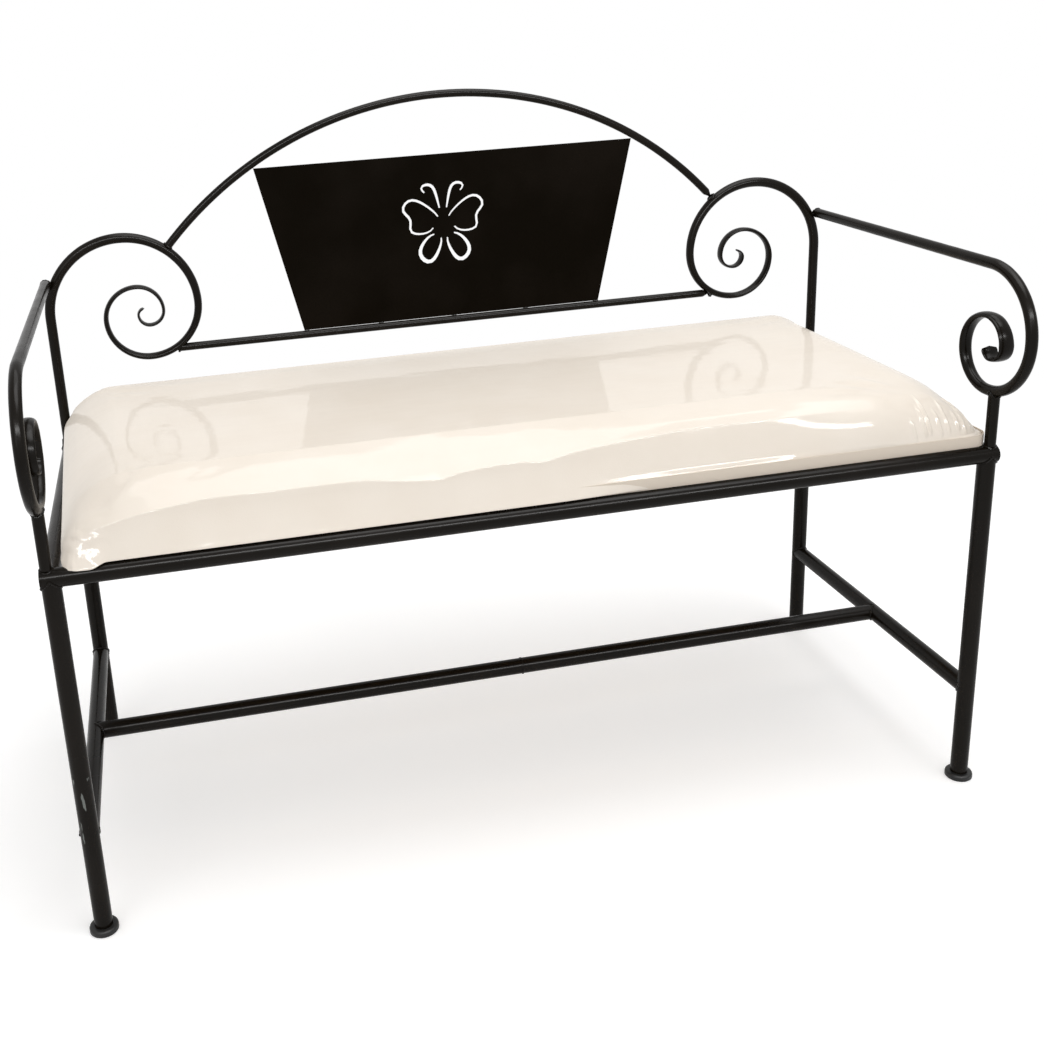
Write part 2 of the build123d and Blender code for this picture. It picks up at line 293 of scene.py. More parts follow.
def enamel(name, mirror, gloss):
    material, tree, shader, place = new_material(name, ENAMEL_BLACK, 0.3)
    cloud = noise(tree, place, 9, 4)
    paint = blend_colour(tree, ramp(tree, cloud, 0.42, 0.7), ENAMEL_BLACK, ENAMEL_WORN)
    streak = noise(tree, place, 130, 3, (1, 1, 0.22))
    scratch = calc(tree, "MULTIPLY", inside(tree, place, SCRATCH_LOW, SCRATCH_HIGH),
                   ramp(tree, streak, 0.62, 0.66))
    tree.links.new(blend_colour(tree, scratch, paint, PRIMER_GREY), shader.inputs["Base Color"])
    tree.links.new(ramp(tree, noise(tree, place, 35, 3), 0.3, 0.7, 0.2, 0.34), shader.inputs["Roughness"])
    shader.inputs["Specular IOR Level"].default_value = mirror
    shader.inputs["Coat Weight"].default_value = gloss
    shader.inputs["Coat Roughness"].default_value = GLOSS_ROUGH
    tree.links.new(bump(tree, noise(tree, place, 420, 2), 0.0002, 0.35), shader.inputs["Normal"])
    return material


ENAMEL = enamel("black_enamel", 0.04, 0.15)
SHEET_ENAMEL = enamel("sheet_enamel", 0.02, 0.0)
print("enamel made")

# %% [markdown]
# The tubes of the frame. Each tube is one line from centre to centre, and where it meets another
# tube its end is coped: cut to a saddle that fits round the other. A grid of points is bent round
# the line, and every point of an end ring is pulled back by the saddle's depth at its own angle,
# which is the root of R squared minus its sideways offset squared. The first and last rows of the
# grid are drawn to the centre, so the ends are closed. A boolean cut would give the same saddle, but
# with long thin triangles round it that show in the gloss.

# %% Rings on a grid
TURN = 2 * math.pi


def ring_grid(tree, around, rows):
    """A grid to be bent into rings: each point's angle, its row's number and the last row's number."""
    grid = add(tree, "GeometryNodeMeshGrid", Size_X=1.0, Size_Y=1.0, Vertices_X=around, Vertices_Y=rows)
    position = tree.nodes.new("GeometryNodeInputPosition").outputs[0]
    parts = add(tree, "ShaderNodeSeparateXYZ", Vector=position).outputs
    angle = calc(tree, "MULTIPLY", calc(tree, "ADD", parts[0], 0.5), TURN)
    last = calc(tree, "SUBTRACT", rows, 1.0)
    row = calc(tree, "ROUND", calc(tree, "MULTIPLY", calc(tree, "ADD", parts[1], 0.5), last))
    return grid.outputs[0], angle, row, last


def close_rings(tree, grid, place, material, out):
    """Moves the grid's points to their places and welds the rings shut."""
    moved = add(tree, "GeometryNodeSetPosition", Geometry=grid, Position=place)
    welded = add(tree, "GeometryNodeMergeByDistance", Geometry=moved.outputs[0], Distance=1e-6)
    close_tree(tree, welded.outputs[0], material, out)


# %% Coped tube tree
AROUND = 49


def coped_tube_tree():
    sizes = {"From": (0.0, 0.0, 0.0), "To": (0.0, 0.0, 1.0), "Side": (1.0, 0.0, 0.0), "Radius": 0.01,
             "Cope From": 0.0, "Cope To": 0.0}
    tree, given, out = new_tree("coped_tube", sizes)
    grid, angle, row, _ = ring_grid(tree, AROUND, 4)
    at_end = calc(tree, "GREATER_THAN", row, 1.5)
    on_ring = calc(tree, "COMPARE", row, 1.5, 0.9)
    run = vec(tree, "SUBTRACT", given["To"], given["From"])
    axis = vec(tree, "NORMALIZE", run)
    across = vec(tree, "CROSS_PRODUCT", axis, given["Side"])
    radius = calc(tree, "MULTIPLY", given["Radius"], on_ring)
    sideways = calc(tree, "MULTIPLY", radius, calc(tree, "COSINE", angle))
    upward = calc(tree, "MULTIPLY", radius, calc(tree, "SINE", angle))
    saddles = []
    for label in ("Cope From", "Cope To"):
        left_over = calc(tree, "SUBTRACT", calc(tree, "POWER", given[label], 2.0),
                         calc(tree, "POWER", sideways, 2.0))
        saddles.append(calc(tree, "SQRT", calc(tree, "MAXIMUM", left_over, 0.0)))
    far = calc(tree, "SUBTRACT", vec(tree, "LENGTH", run), saddles[1])
    run_between = calc(tree, "SUBTRACT", far, saddles[0])
    along = calc(tree, "ADD", saddles[0], calc(tree, "MULTIPLY", at_end, run_between))
    point = vec(tree, "ADD", given["From"], vec(tree, "SCALE", axis, along))
    point = vec(tree, "ADD", point, vec(tree, "SCALE", given["Side"], sideways))
    point = vec(tree, "ADD", point, vec(tree, "SCALE", across, upward))
    close_rings(tree, grid, point, given["Material"], out)
    return tree


COPED_TUBE = coped_tube_tree()
FIT_GAP = 0.00015
COPE = TUBE_R + FIT_GAP


def tube(node, start, end, side, cope_from=0.0, cope_to=0.0, radius=TUBE_R):
    source = bpy.data.meshes.new(node)
    piece = make(node + "_tube", source, COPED_TUBE, ENAMEL, From=start, To=end, Side=side, Radius=radius,
                 Cope_From=cope_from, Cope_To=cope_to)
    return dress(piece, "enamel", node)


# %% The tubes
for end, y in ENDS.items():
    tube(end + "_rail", (-RAIL_END, y, RAIL_Z), (RAIL_END, y, RAIL_Z), (0, 0, 1))
    for name, side in SIDES.items():
        x = side * LEG_X
        tube(f"{end}_leg_{name}", (x, y, LEG_FOOT_Z), (x, y, RAIL_Z), (0, 1, 0), 0.0, COPE)
for name, side in SIDES.items():
    x = side * LEG_X
    tube("side_rail_" + name, (x, FRONT_Y, RAIL_Z), (x, REAR_Y, RAIL_Z), (0, 0, 1), COPE, COPE)
    tube("side_stretcher_" + name, (x, FRONT_Y, STRETCHER_Z), (x, REAR_Y, STRETCHER_Z), (1, 0, 0), COPE, COPE)
MID_Y = (FRONT_Y + REAR_Y) / 2
tube("centre_stretcher", (-LEG_X, MID_Y, STRETCHER_Z), (LEG_X, MID_Y, STRETCHER_Z), (0, 0, 1), COPE, COPE)
print("tubes made")

# %% [markdown]
# The forged bars of the arms and the back. A smith rolls such a bar round a scroll jig in turns that
# tighten step by step, so each path here is a straight run and quarter circles, each tangent to the
# one before. Towards its end the bar is hammered flat. The tree lays rings along the path: thickness
# lies in the plane of the scroll, width stands across it, and both run from the round bar to the
# flat tip. A slow noise gives the hammered part its uneven faces.

# %% Forged bar tree
BAR_AROUND = 33
BAR_STEP = 0.0022


def forged_bar_tree():
    sizes = {"Across": (0.0, 1.0, 0.0), "Bar": 0.006, "Tip Thick": 0.0015, "Tip Wide": 0.007,
             "Flat From": 0.5, "Tip Round": 0.01, "Hammer": 0.0, "Rows": 100}
    tree, given, out = new_tree("forged_bar", sizes)
    grid, angle, row, last = ring_grid(tree, BAR_AROUND, given["Rows"])
    inner = calc(tree, "SUBTRACT", last, 2.0)
    share = calc(tree, "DIVIDE", calc(tree, "SUBTRACT", row, 1.0), inner)
    share = calc(tree, "MINIMUM", calc(tree, "MAXIMUM", share, 0.0), 1.0)
    open_rows = calc(tree, "MULTIPLY", calc(tree, "GREATER_THAN", row, 0.5),
                     calc(tree, "LESS_THAN", row, calc(tree, "SUBTRACT", last, 0.5)))
    sample = add(tree, "GeometryNodeSampleCurve", {"mode": "FACTOR"}, Curves=given["Geometry"], Factor=share)
    point, heading = sample.outputs["Position"], sample.outputs["Tangent"]
    inward = vec(tree, "NORMALIZE", vec(tree, "CROSS_PRODUCT", given["Across"], heading))
    flat_run = calc(tree, "SUBTRACT", 1.0, given["Flat From"])
    flat = calc(tree, "DIVIDE", calc(tree, "SUBTRACT", share, given["Flat From"]), flat_run)
    flat = calc(tree, "MAXIMUM", flat, 0.0)
    to_tip = calc(tree, "DIVIDE", calc(tree, "SUBTRACT", 1.0, share), given["Tip Round"])
    to_tip = calc(tree, "SUBTRACT", 1.0, calc(tree, "MINIMUM", to_tip, 1.0))
    rounding = calc(tree, "SQRT", calc(tree, "SUBTRACT", 1.0, calc(tree, "MULTIPLY", to_tip, to_tip)))
    blows = add(tree, "ShaderNodeTexNoise", Vector=point, Scale=75.0, Detail=1.0).outputs["Fac"]
    blows = calc(tree, "MULTIPLY", calc(tree, "SUBTRACT", blows, 0.5), given["Hammer"])
    blows = calc(tree, "ADD", 1.0, calc(tree, "MULTIPLY", blows, calc(tree, "ADD", 0.25, flat)))
    halves = []
    for label in ("Tip Thick", "Tip Wide"):
        grown = calc(tree, "MULTIPLY", calc(tree, "SUBTRACT", given[label], given["Bar"]), flat)
        half = calc(tree, "MULTIPLY", calc(tree, "ADD", given["Bar"], grown), open_rows)
        halves.append(calc(tree, "MULTIPLY", half, blows))
    thick = calc(tree, "MULTIPLY", calc(tree, "MULTIPLY", halves[0], rounding), calc(tree, "COSINE", angle))
    wide = calc(tree, "MULTIPLY", calc(tree, "MULTIPLY", halves[1], rounding), calc(tree, "SINE", angle))
    place = vec(tree, "ADD", point, vec(tree, "SCALE", inward, thick))
    place = vec(tree, "ADD", place, vec(tree, "SCALE", given["Across"], wide))
    close_rings(tree, grid, place, given["Material"], out)
    return tree


FORGED_BAR = forged_bar_tree()

# %% Scroll paths
DEGREES_A_STEP = 3
TIP_ROUND = 0.004
HAMMER = 0.12


def curl(start, heading, radii):
    """Points along left-hand quarter circles, each tangent to the one before."""
    points = [Vector(start)]
    for radius in radii:
        centre = points[-1] + Vector((-math.sin(heading), math.cos(heading))) * radius
        for step in range(DEGREES_A_STEP, 91, DEGREES_A_STEP):
            turned = heading + math.radians(step)
            points.append(centre + Vector((math.sin(turned), -math.cos(turned))) * radius)
        heading += math.pi / 2
    return points


def length(points):
    return sum((b - a).length for a, b in zip(points, points[1:]))


def forged(node, flat_path, to_space, across, tip_thick, tip_wide, plain_length, hammer):
    """A bar along a path in its own plane, flattened after its plain length."""
    total = length(flat_path)
    source = path_curve(node, [([to_space(p) for p in flat_path], False)])
    piece = make(node + "_bar", source, FORGED_BAR, ENAMEL, Across=across, Bar=BAR_R, Tip_Thick=tip_thick / 2,
                 Tip_Wide=tip_wide / 2, Flat_From=plain_length / total, Tip_Round=TIP_ROUND / total,
                 Hammer=hammer, Rows=int(total / BAR_STEP))
    return dress(piece, "enamel", node)


# %% Back scrolls
BACK_CURL = 0.090
BACK_SHARES = (1, 0.944, 0.694, 0.539, 0.428, 0.339, 0.194, 0.144, 0.089)
BACK_TIP_T, BACK_TIP_W = 0.003, 0.014
BACK_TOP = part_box("back_scroll_left")[1].z - BAR_R
BACK_TURNS = [BACK_CURL * share for share in BACK_SHARES]
BACK_FOOT = Vector((POST_X, POST_FOOT_Z))
BACK_BEND = Vector((POST_X, BACK_TOP - BACK_CURL))
back_path = [BACK_FOOT] + curl(BACK_BEND, math.pi / 2, BACK_TURNS)
back_plain = (BACK_BEND - BACK_FOOT).length + BACK_CURL * math.pi / 2
for name, side in SIDES.items():
    forged("back_scroll_" + name, back_path, lambda p: (side * p.x, REAR_Y, p.y), (0, 1, 0),
           BACK_TIP_T, BACK_TIP_W, back_plain, HAMMER)
print(f"back scroll bar {length(back_path) * 1000:.0f} mm long")

# %% Arms
ARM_CURL = 0.071
ARM_SHARES = (1, 0.9, 0.585, 0.545, 0.41, 0.22, 0.17)
ARM_SET = 0.014
ARM_TIP_T, ARM_TIP_W = 0.003, 0.019
ARM_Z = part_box("arm_left")[1].z - BAR_R
ARM_TURNS = [ARM_CURL * share for share in ARM_SHARES]
ARM_DIP = ARM_TURNS[1] - math.sqrt(ARM_TURNS[1] ** 2 - ARM_SET ** 2)
ARM_FOOT_Z = ARM_Z - ARM_TURNS[0] - ARM_TURNS[1] + ARM_DIP
ARM_REAR = Vector((-REAR_Y + BAR_R, -ARM_Z))
ARM_BEND = Vector((-FRONT_Y - ARM_SET + ARM_TURNS[1] - ARM_TURNS[0], -ARM_Z))
arm_path = [ARM_REAR] + curl(ARM_BEND, 0.0, ARM_TURNS)
arm_plain = (ARM_BEND - ARM_REAR).length + (ARM_TURNS[0] + ARM_TURNS[1]) * math.pi / 2
for name, side in SIDES.items():
    forged("arm_" + name, arm_path, lambda p: (side * POST_X, -p.x, -p.y), (1, 0, 0),
           ARM_TIP_T, ARM_TIP_W, arm_plain, HAMMER)
print(f"arm bar {length(arm_path) * 1000:.0f} mm long")

# %% [markdown]
# The arch and the lower rail of the back are plain round rods that stop against the scrolls. A curve
# with a bevel would do, but the forged bar's tree is there already, so they take it with no
# flattening.

# %% Arch and lower rail
ARCH_R = 0.4665
ARCH_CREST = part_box("back_arch")[1].z - ROD_R
ARCH_CENTRE_Z = ARCH_CREST - ARCH_R
ARCH_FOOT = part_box("back_arch")[0]
ARCH_POINTS = 61
ROD_STEP = 0.01
LOWER_SHORT = 0.003
arch_half = math.asin(min(1.0, -ARCH_FOOT.x / (ARCH_R + ROD_R)))


def rod(node, points):
    source = path_curve(node, [(points, False)])
    piece = make(node + "_rod", source, FORGED_BAR, ENAMEL, Across=(0, 1, 0), Bar=ROD_R, Tip_Thick=ROD_R,
                 Tip_Wide=ROD_R, Flat_From=0.5, Tip_Round=1e-6, Hammer=0.0,
                 Rows=int(length(points) / ROD_STEP))
    return dress(piece, "enamel", node)


arch_points = []
for step in range(ARCH_POINTS):
    angle = arch_half * (2 * step / (ARCH_POINTS - 1) - 1)
    arch_points.append(Vector((ARCH_R * math.sin(angle), REAR_Y, ARCH_CENTRE_Z + ARCH_R * math.cos(angle))))
rod("back_arch", arch_points)
LOWER_END = size("lower_back_rail").x / 2 - LOWER_SHORT
rod("lower_back_rail", [Vector((x, REAR_Y, LOWER_Z)) for x in np.linspace(-LOWER_END, LOWER_END, 21)])
print(f"arch rod {length(arch_points) * 1000:.0f} mm long")

# %% [markdown]
# The arm posts are short bars from the front rail to the underside of each arm, with the upper end
# coped to fit round it. They are one piece, as in the solids, so two tubes are made and joined.

# %% Arm posts
def join(name, pieces):
    """One mesh object out of several."""
    shape = bmesh.new()
    for piece in pieces:
        shape.from_mesh(piece.data)
        materials = list(piece.data.materials)
        bpy.data.objects.remove(piece)
    mesh = mesh_from(name, shape)
    for material in materials:
        mesh.materials.append(material)
    return finish_mesh(name, mesh)


def arm_posts():
    """Both posts in one piece, as in the solids."""
    pieces = []
    for name, side in SIDES.items():
        x = side * POST_X
        pieces.append(make("arm_post_" + name, bpy.data.meshes.new("post"), COPED_TUBE, ENAMEL,
                           From=(x, FRONT_Y, POST_FOOT_Z), To=(x, FRONT_Y, ARM_FOOT_Z), Side=(1, 0, 0),
                           Radius=BAR_R, Cope_From=0.0, Cope_To=BAR_R + FIT_GAP))
    return join("arm_posts_bar", pieces)


dress(arm_posts(), "enamel", "arm_posts")
print("arm posts made")

# %% [markdown]
# Every joint of the frame is welded, and the paint runs over the beads. A bead is a small rippled
# tube along the line where two pieces meet: the ring of the smaller one, pushed on to the round of
# the larger one. One tree sweeps all of them, with a ripple along each bead and a noise on its size.
# The centre stretcher is pieced together from two lengths, so it has a low ring near its middle.

# %% Weld bead tree
BEAD_R = 0.0014
BEAD_RIPPLE = 0.0032
BEAD_STEP = 0.0008


def weld_tree():
    tree, given, out = new_tree("weld_bead", {"Bead": BEAD_R, "Ripple": BEAD_RIPPLE})
    fine = add(tree, "GeometryNodeResampleCurve", {"mode": "LENGTH"}, Curve=given["Geometry"],
               Length=BEAD_STEP)
    run = tree.nodes.new("GeometryNodeSplineParameter").outputs["Length"]
    wave = calc(tree, "SINE", calc(tree, "DIVIDE", calc(tree, "MULTIPLY", run, TURN), given["Ripple"]))
    lumps = add(tree, "ShaderNodeTexNoise", Vector=tree.nodes.new("GeometryNodeInputPosition").outputs[0],
                Scale=160.0, Detail=1.0).outputs["Fac"]
    swell = calc(tree, "ADD", calc(tree, "MULTIPLY", wave, 0.12), calc(tree, "ADD", 0.5, lumps))
    own = tree.nodes.new("GeometryNodeInputRadius").outputs[0]
    radius = calc(tree, "MULTIPLY", calc(tree, "MULTIPLY", swell, given["Bead"]), own)
    ring = add(tree, "GeometryNodeCurvePrimitiveCircle", Resolution=8, Radius=1.0)
    swept = add(tree, "GeometryNodeCurveToMesh", Curve=fine.outputs[0], Profile_Curve=ring.outputs[0],
                Scale=radius, Fill_Caps=True)
    close_tree(tree, swept.outputs[0], given["Material"], out)
    return tree


def saddle(centre, axis, side, radius, on_radius, steps=28):
    """Ring where a bar round an axis meets the round of the piece that it stands on."""
    axis, side = Vector(axis), Vector(side)
    across = axis.cross(side)
    points = []
    for step in range(steps):
        angle = TURN * step / steps
        sideways = radius * math.cos(angle)
        depth = math.sqrt(max(on_radius ** 2 - sideways ** 2, 0))
        points.append(Vector(centre) + axis * depth + side * sideways + across * radius * math.sin(angle))
    return points, True


# %% Where the welds lie
NICK_X = 0.020
NICK_SINK = 0.0006
TACK_SINK = 0.0004
welds = []
for name, side in SIDES.items():
    x, post = side * LEG_X, side * POST_X
    for y, inward in ((FRONT_Y, 1), (REAR_Y, -1)):
        welds.append(saddle((x, y, RAIL_Z), (0, 0, -1), (0, 1, 0), TUBE_R, TUBE_R))
        welds.append(saddle((x, y, RAIL_Z), (0, inward, 0), (0, 0, 1), TUBE_R, TUBE_R))
        welds.append(saddle((x, y, STRETCHER_Z), (0, inward, 0), (1, 0, 0), TUBE_R, TUBE_R))
        welds.append(saddle((post, y, RAIL_Z), (0, 0, 1), (0, 1, 0), BAR_R, TUBE_R))
    welds.append(saddle((x, MID_Y, STRETCHER_Z), (-side, 0, 0), (0, 0, 1), TUBE_R, TUBE_R))
    welds.append(saddle((post, FRONT_Y, ARM_FOOT_Z), (0, 0, -1), (1, 0, 0), BAR_R, BAR_R))
    welds.append(saddle((post, REAR_Y, ARM_Z), (0, -1, 0), (1, 0, 0), BAR_R * 0.85, BAR_R))
    foot = arch_points[-1 if side > 0 else 0]
    slope = Vector((foot.z - ARCH_CENTRE_Z, 0, -foot.x)).normalized()
    welds.append(saddle(foot, slope, (0, 1, 0), ROD_R, 0.0))
    welds.append(saddle((side * LOWER_END, REAR_Y, LOWER_Z), (side, 0, 0), (0, 1, 0), ROD_R, 0.0))
welds.append(saddle((NICK_X, MID_Y, STRETCHER_Z), (1, 0, 0), (0, 0, 1), TUBE_R - NICK_SINK, 0.0))
PANEL_LOW, PANEL_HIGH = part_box("back_panel")
TACK_COUNT = 5
TACK_LENGTH = 0.006
tack_low, tack_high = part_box("panel_tack_welds")
for step in range(TACK_COUNT):
    x = tack_low.x + TACK_LENGTH / 2 + (tack_high.x - tack_low.x - TACK_LENGTH) * step / (TACK_COUNT - 1)
    for y in (PANEL_LOW.y, PANEL_HIGH.y):
        ends = [Vector((x + TACK_LENGTH / 2 * sign, y, PANEL_LOW.z - TACK_SINK)) for sign in (-1, 1)]
        welds.append((ends, False))
WELD_BEAD = weld_tree()
beads = make("weld_beads", path_curve("welds", welds), WELD_BEAD, ENAMEL, Bead=BEAD_R, Ripple=BEAD_RIPPLE)
dress(beads, "enamel", "panel_tack_welds")
print(len(welds), "weld beads made")

# %% [markdown]
# The panel and the discs in the rail ends are right as they are in the solids, so they keep their
# shape and only take the paint.

# %% Painted solids
def paint(node, material):
    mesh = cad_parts[node].data
    mesh.materials.clear()
    mesh.materials.append(material)


paint("back_panel", SHEET_ENAMEL)
paint("rail_end_caps", ENAMEL)
print("panel and end discs painted")

# %% [markdown]
# Under each leg is a black plastic glide with a rounded flange. One glide is turned from a profile, as
# on a lathe, and a tree sets a copy at every leg. The screws under the seat are made the same way.

# %% Glide material and profile
def glide_material():
    material, tree, shader, place = new_material("black_plastic", (0.012, 0.012, 0.012), 0.45)
    shader.inputs["Specular IOR Level"].default_value = 0.3
    tree.links.new(bump(tree, noise(tree, place, 900, 2), 0.0001, 0.3), shader.inputs["Normal"])
    return material


GLIDE_R = 0.015
GLIDE_H = LEG_FOOT_Z
GLIDE_ROUND = 0.0026
GLIDE_TOP_R = TUBE_R + 0.0012


def glide_profile():
    """From the middle of the sole out, up the rounded rim and in to the tube."""
    points = [(0.0, 0.0), (GLIDE_R - 0.001, 0.0), (GLIDE_R, 0.001)]
    for step in range(0, 91, 15):
        angle = math.radians(step)
        points.append((GLIDE_R - GLIDE_ROUND * (1 - math.cos(angle)),
                       GLIDE_H - GLIDE_ROUND * (1 - math.sin(angle))))
    points += [(GLIDE_TOP_R, GLIDE_H), (0.0, GLIDE_H)]
    return points


# %% Turned models and their copies
def turned(name, profile, steps=48):
    """A closed mesh from a profile of radius and height, turned about the upright axis."""
    shape = bmesh.new()
    chain = [shape.verts.new((r, 0, z)) for r, z in profile]
    edges = [shape.edges.new(pair) for pair in zip(chain, chain[1:])]
    bmesh.ops.spin(shape, geom=chain + edges, cent=(0, 0, 0), axis=(0, 0, 1), angle=TURN, steps=steps)
    bmesh.ops.remove_doubles(shape, verts=shape.verts, dist=1e-6)
    bmesh.ops.recalc_face_normals(shape, faces=shape.faces)
    return bpy.data.objects.new(name, mesh_from(name, shape))


def copies_tree(name, model):
    """Sets a copy of a model on every point of a mesh."""
    tree, given, out = new_tree(name, {"Size": 1.0})
    copies = add(tree, "GeometryNodeInstanceOnPoints", Points=given["Geometry"],
                 Instance=model_of(tree, model), Scale=given["Size"])
    close_tree(tree, copies.outputs[0], given["Material"], out)
    return tree


def points_mesh(name, points):
    mesh = bpy.data.meshes.new(name)
    mesh.from_pydata(points, [], [])
    return mesh


feet = points_mesh("feet", [(side * LEG_X, y, 0) for side in SIDES.values() for y in ENDS.values()])
glide = turned("glide_model", glide_profile())
glides = make("glides", feet, copies_tree("glide_copies", glide), glide_material())
dress(glides, "glide", "leg_glides")
print("glides made")

# %% [markdown]
# The seat pad. The solid gives its place and height; the cloth simulation gives its skin. The start
# is a grid of points in plan, closer together near the edges, with the height of the foam over it:
# flat on top, rolled over at the front, falling away at both ends, and cut sharp at the rear. Its
# corners are rounded by drawing each square corner of the grid to a quarter of a disc. The left end
# is skewed a little, as the cover was pulled. A skirt goes down to the board.

# %% Form of the pad
PAD_LOW, PAD_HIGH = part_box("seat_pad")
FRONT_EDGE = PAD_LOW.y + 0.004
REAR_EDGE = PAD_HIGH.y + 0.002
LEFT_EDGE, LEFT_SKEW = -0.4866, 0.0462
RIGHT_EDGE = 0.4955
CORNER_R = 0.016
ROLL_IN, ROLL_LOW, ROLL_HIGH = 0.043, 0.003, 0.0636
END_IN, END_FALL, END_POWER = 0.061, 0.046, 1.5
REAR_IN, REAR_FALL = 0.004, 0.020
CORNER_DROOP = 0.013
DROOP_ALONG, DROOP_BACK = (0.36, 0.475), (0.01, 0.10)
EDGE_BLEND = 1.5


def smoothstep(value, low, high):
    share = np.clip((value - low) / (high - low), 0, 1)
    return share * share * (3 - 2 * share)


def left_edge(y):
    return LEFT_EDGE - LEFT_SKEW * y


def edge_distances(x, y):
    """How far in from the nearer end and from the nearer long edge, and on which sides those are."""
    left, right = x - left_edge(y), RIGHT_EDGE - x
    front, rear = y - FRONT_EDGE, REAR_EDGE - y
    return np.minimum(left, right), np.minimum(front, rear), np.sign(left - right), np.sign(front - rear)


def fall(inwards, run, drop, power):
    """Drop of a rounded edge at a distance in from it."""
    share = np.clip(1 - inwards / run, 0, 1)
    return drop * (1 - (1 - share ** power) ** (1 / power))


def foam_height(x, y):
    """Height of the foam over the underside, with the three rounded edges blended at the corners."""
    ends = np.minimum(x - left_edge(y), RIGHT_EDGE - x)
    drops = (fall(ends, END_IN, END_FALL, END_POWER),
             fall(y - FRONT_EDGE, ROLL_IN, ROLL_HIGH - ROLL_LOW, 2.0),
             fall(REAR_EDGE - y, REAR_IN, REAR_FALL, 2.0))
    drop = sum(part ** EDGE_BLEND for part in drops) ** (1 / EDGE_BLEND)
    right_front = smoothstep(x, *DROOP_ALONG) * (1 - smoothstep(y - FRONT_EDGE, *DROOP_BACK))
    return ROLL_HIGH - np.minimum(drop + CORNER_DROOP * right_front, ROLL_HIGH - ROLL_LOW)


print(f"pad {(RIGHT_EDGE - LEFT_EDGE) * 1000:.0f} x {(REAR_EDGE - FRONT_EDGE) * 1000:.0f} mm")

# %% [markdown]
# The skin is a grid of square faces over that form. It is drawn in a little, because the cloth swells
# later, and its underside stays open: one big face there would slow the cloth down very much.

# %% Pad skin
GRID = (161, 81)
PINCH = (0.75, 0.6)
SKIRT_ROWS = 8
TUCK = 0.004
PAD_SHRINK = 0.0012
PAD_LIFT = 0.0005


def spread(count, pinch):
    """Steps from 0 to 1 that are closer together at both ends."""
    step = np.linspace(0, 1, count)
    return step - pinch * np.sin(TURN * step) / TURN


def pad_skin():
    along, back = np.meshgrid(spread(GRID[0], PINCH[0]), spread(GRID[1], PINCH[1]), indexing="ij")
    y = FRONT_EDGE + (REAR_EDGE - FRONT_EDGE) * back
    x = left_edge(y) + (RIGHT_EDGE - left_edge(y)) * along
    z = PAD_LOW.z + foam_height(x, y) - PAD_SHRINK
    to_end, to_side, side_x, side_y = edge_distances(x, y)
    out_x, out_y = np.clip(1 - to_end / CORNER_R, 0, 1), np.clip(1 - to_side / CORNER_R, 0, 1)
    round_x, round_y = out_x * np.sqrt(1 - out_y ** 2 / 2), out_y * np.sqrt(1 - out_x ** 2 / 2)
    x = x - side_x * (CORNER_R * (out_x - round_x) + PAD_SHRINK * out_x)
    y = y - side_y * (CORNER_R * (out_y - round_y) + PAD_SHRINK * out_y)
    number = np.arange(x.size).reshape(x.shape)
    rim = np.concatenate((number[:-1, 0], number[-1, :-1], number[:0:-1, -1], number[0, :0:-1]))
    points = [np.stack((x.ravel(), y.ravel(), z.ravel()), axis=1)]
    way = np.stack(((side_x * round_x).ravel(), (side_y * round_y).ravel()), axis=1)[rim]
    corners = (number[:-1, :-1], number[1:, :-1], number[1:, 1:], number[:-1, 1:])
    faces = np.stack([corner.ravel() for corner in corners], axis=1).tolist()
    edge, last = points[0][rim], rim
    for row in range(1, SKIRT_ROWS + 1):
        share = row / SKIRT_ROWS
        ring = edge.copy()
        ring[:, :2] -= way * TUCK * share ** 2
        ring[:, 2] += (PAD_LOW.z + PAD_LIFT - edge[:, 2]) * share
        points.append(ring)
        now = x.size + (row - 1) * len(rim) + np.arange(len(rim))
        faces += np.stack((last, now, np.roll(now, -1), np.roll(last, -1)), axis=1).tolist()
        last = now
    mesh = bpy.data.meshes.new("seat_cover")
    mesh.from_pydata(np.concatenate(points).tolist(), [], faces)
    pad = bpy.data.objects.new("seat_cover", mesh)
    bpy.context.scene.collection.objects.link(pad)
    return pad


pad = pad_skin()
print(len(pad.data.polygons), "faces in the pad's skin")

# %% [markdown]
# A cover over foam is tight, so it swells between its fixed edges. The skin is pinned where the cover
# is stapled under the board and blown up gently by the Cloth modifier, so the top crowns and the sides
# fill out. Modelled by hand, such a crown looks stiff. How far a point may move is capped.

# %% Cloth under pressure
PIN_HEIGHT = 0.006
PRESSURE = 3.0
CLOTH_FRAMES = 20
MOVE_CAP = 0.0022


def settle(piece):
    """Applies all modifiers of a piece to its mesh."""
    evaluated = piece.evaluated_get(bpy.context.evaluated_depsgraph_get())
    mesh = bpy.data.meshes.new_from_object(evaluated)
    piece.modifiers.clear()
    piece.data = mesh
    return piece


def coordinates(mesh, kind="co"):
    """All points of a mesh, or their normals, as rows."""
    flat = np.zeros(len(mesh.vertices) * 3)
    mesh.vertices.foreach_get(kind, flat)
    return flat.reshape(-1, 3)


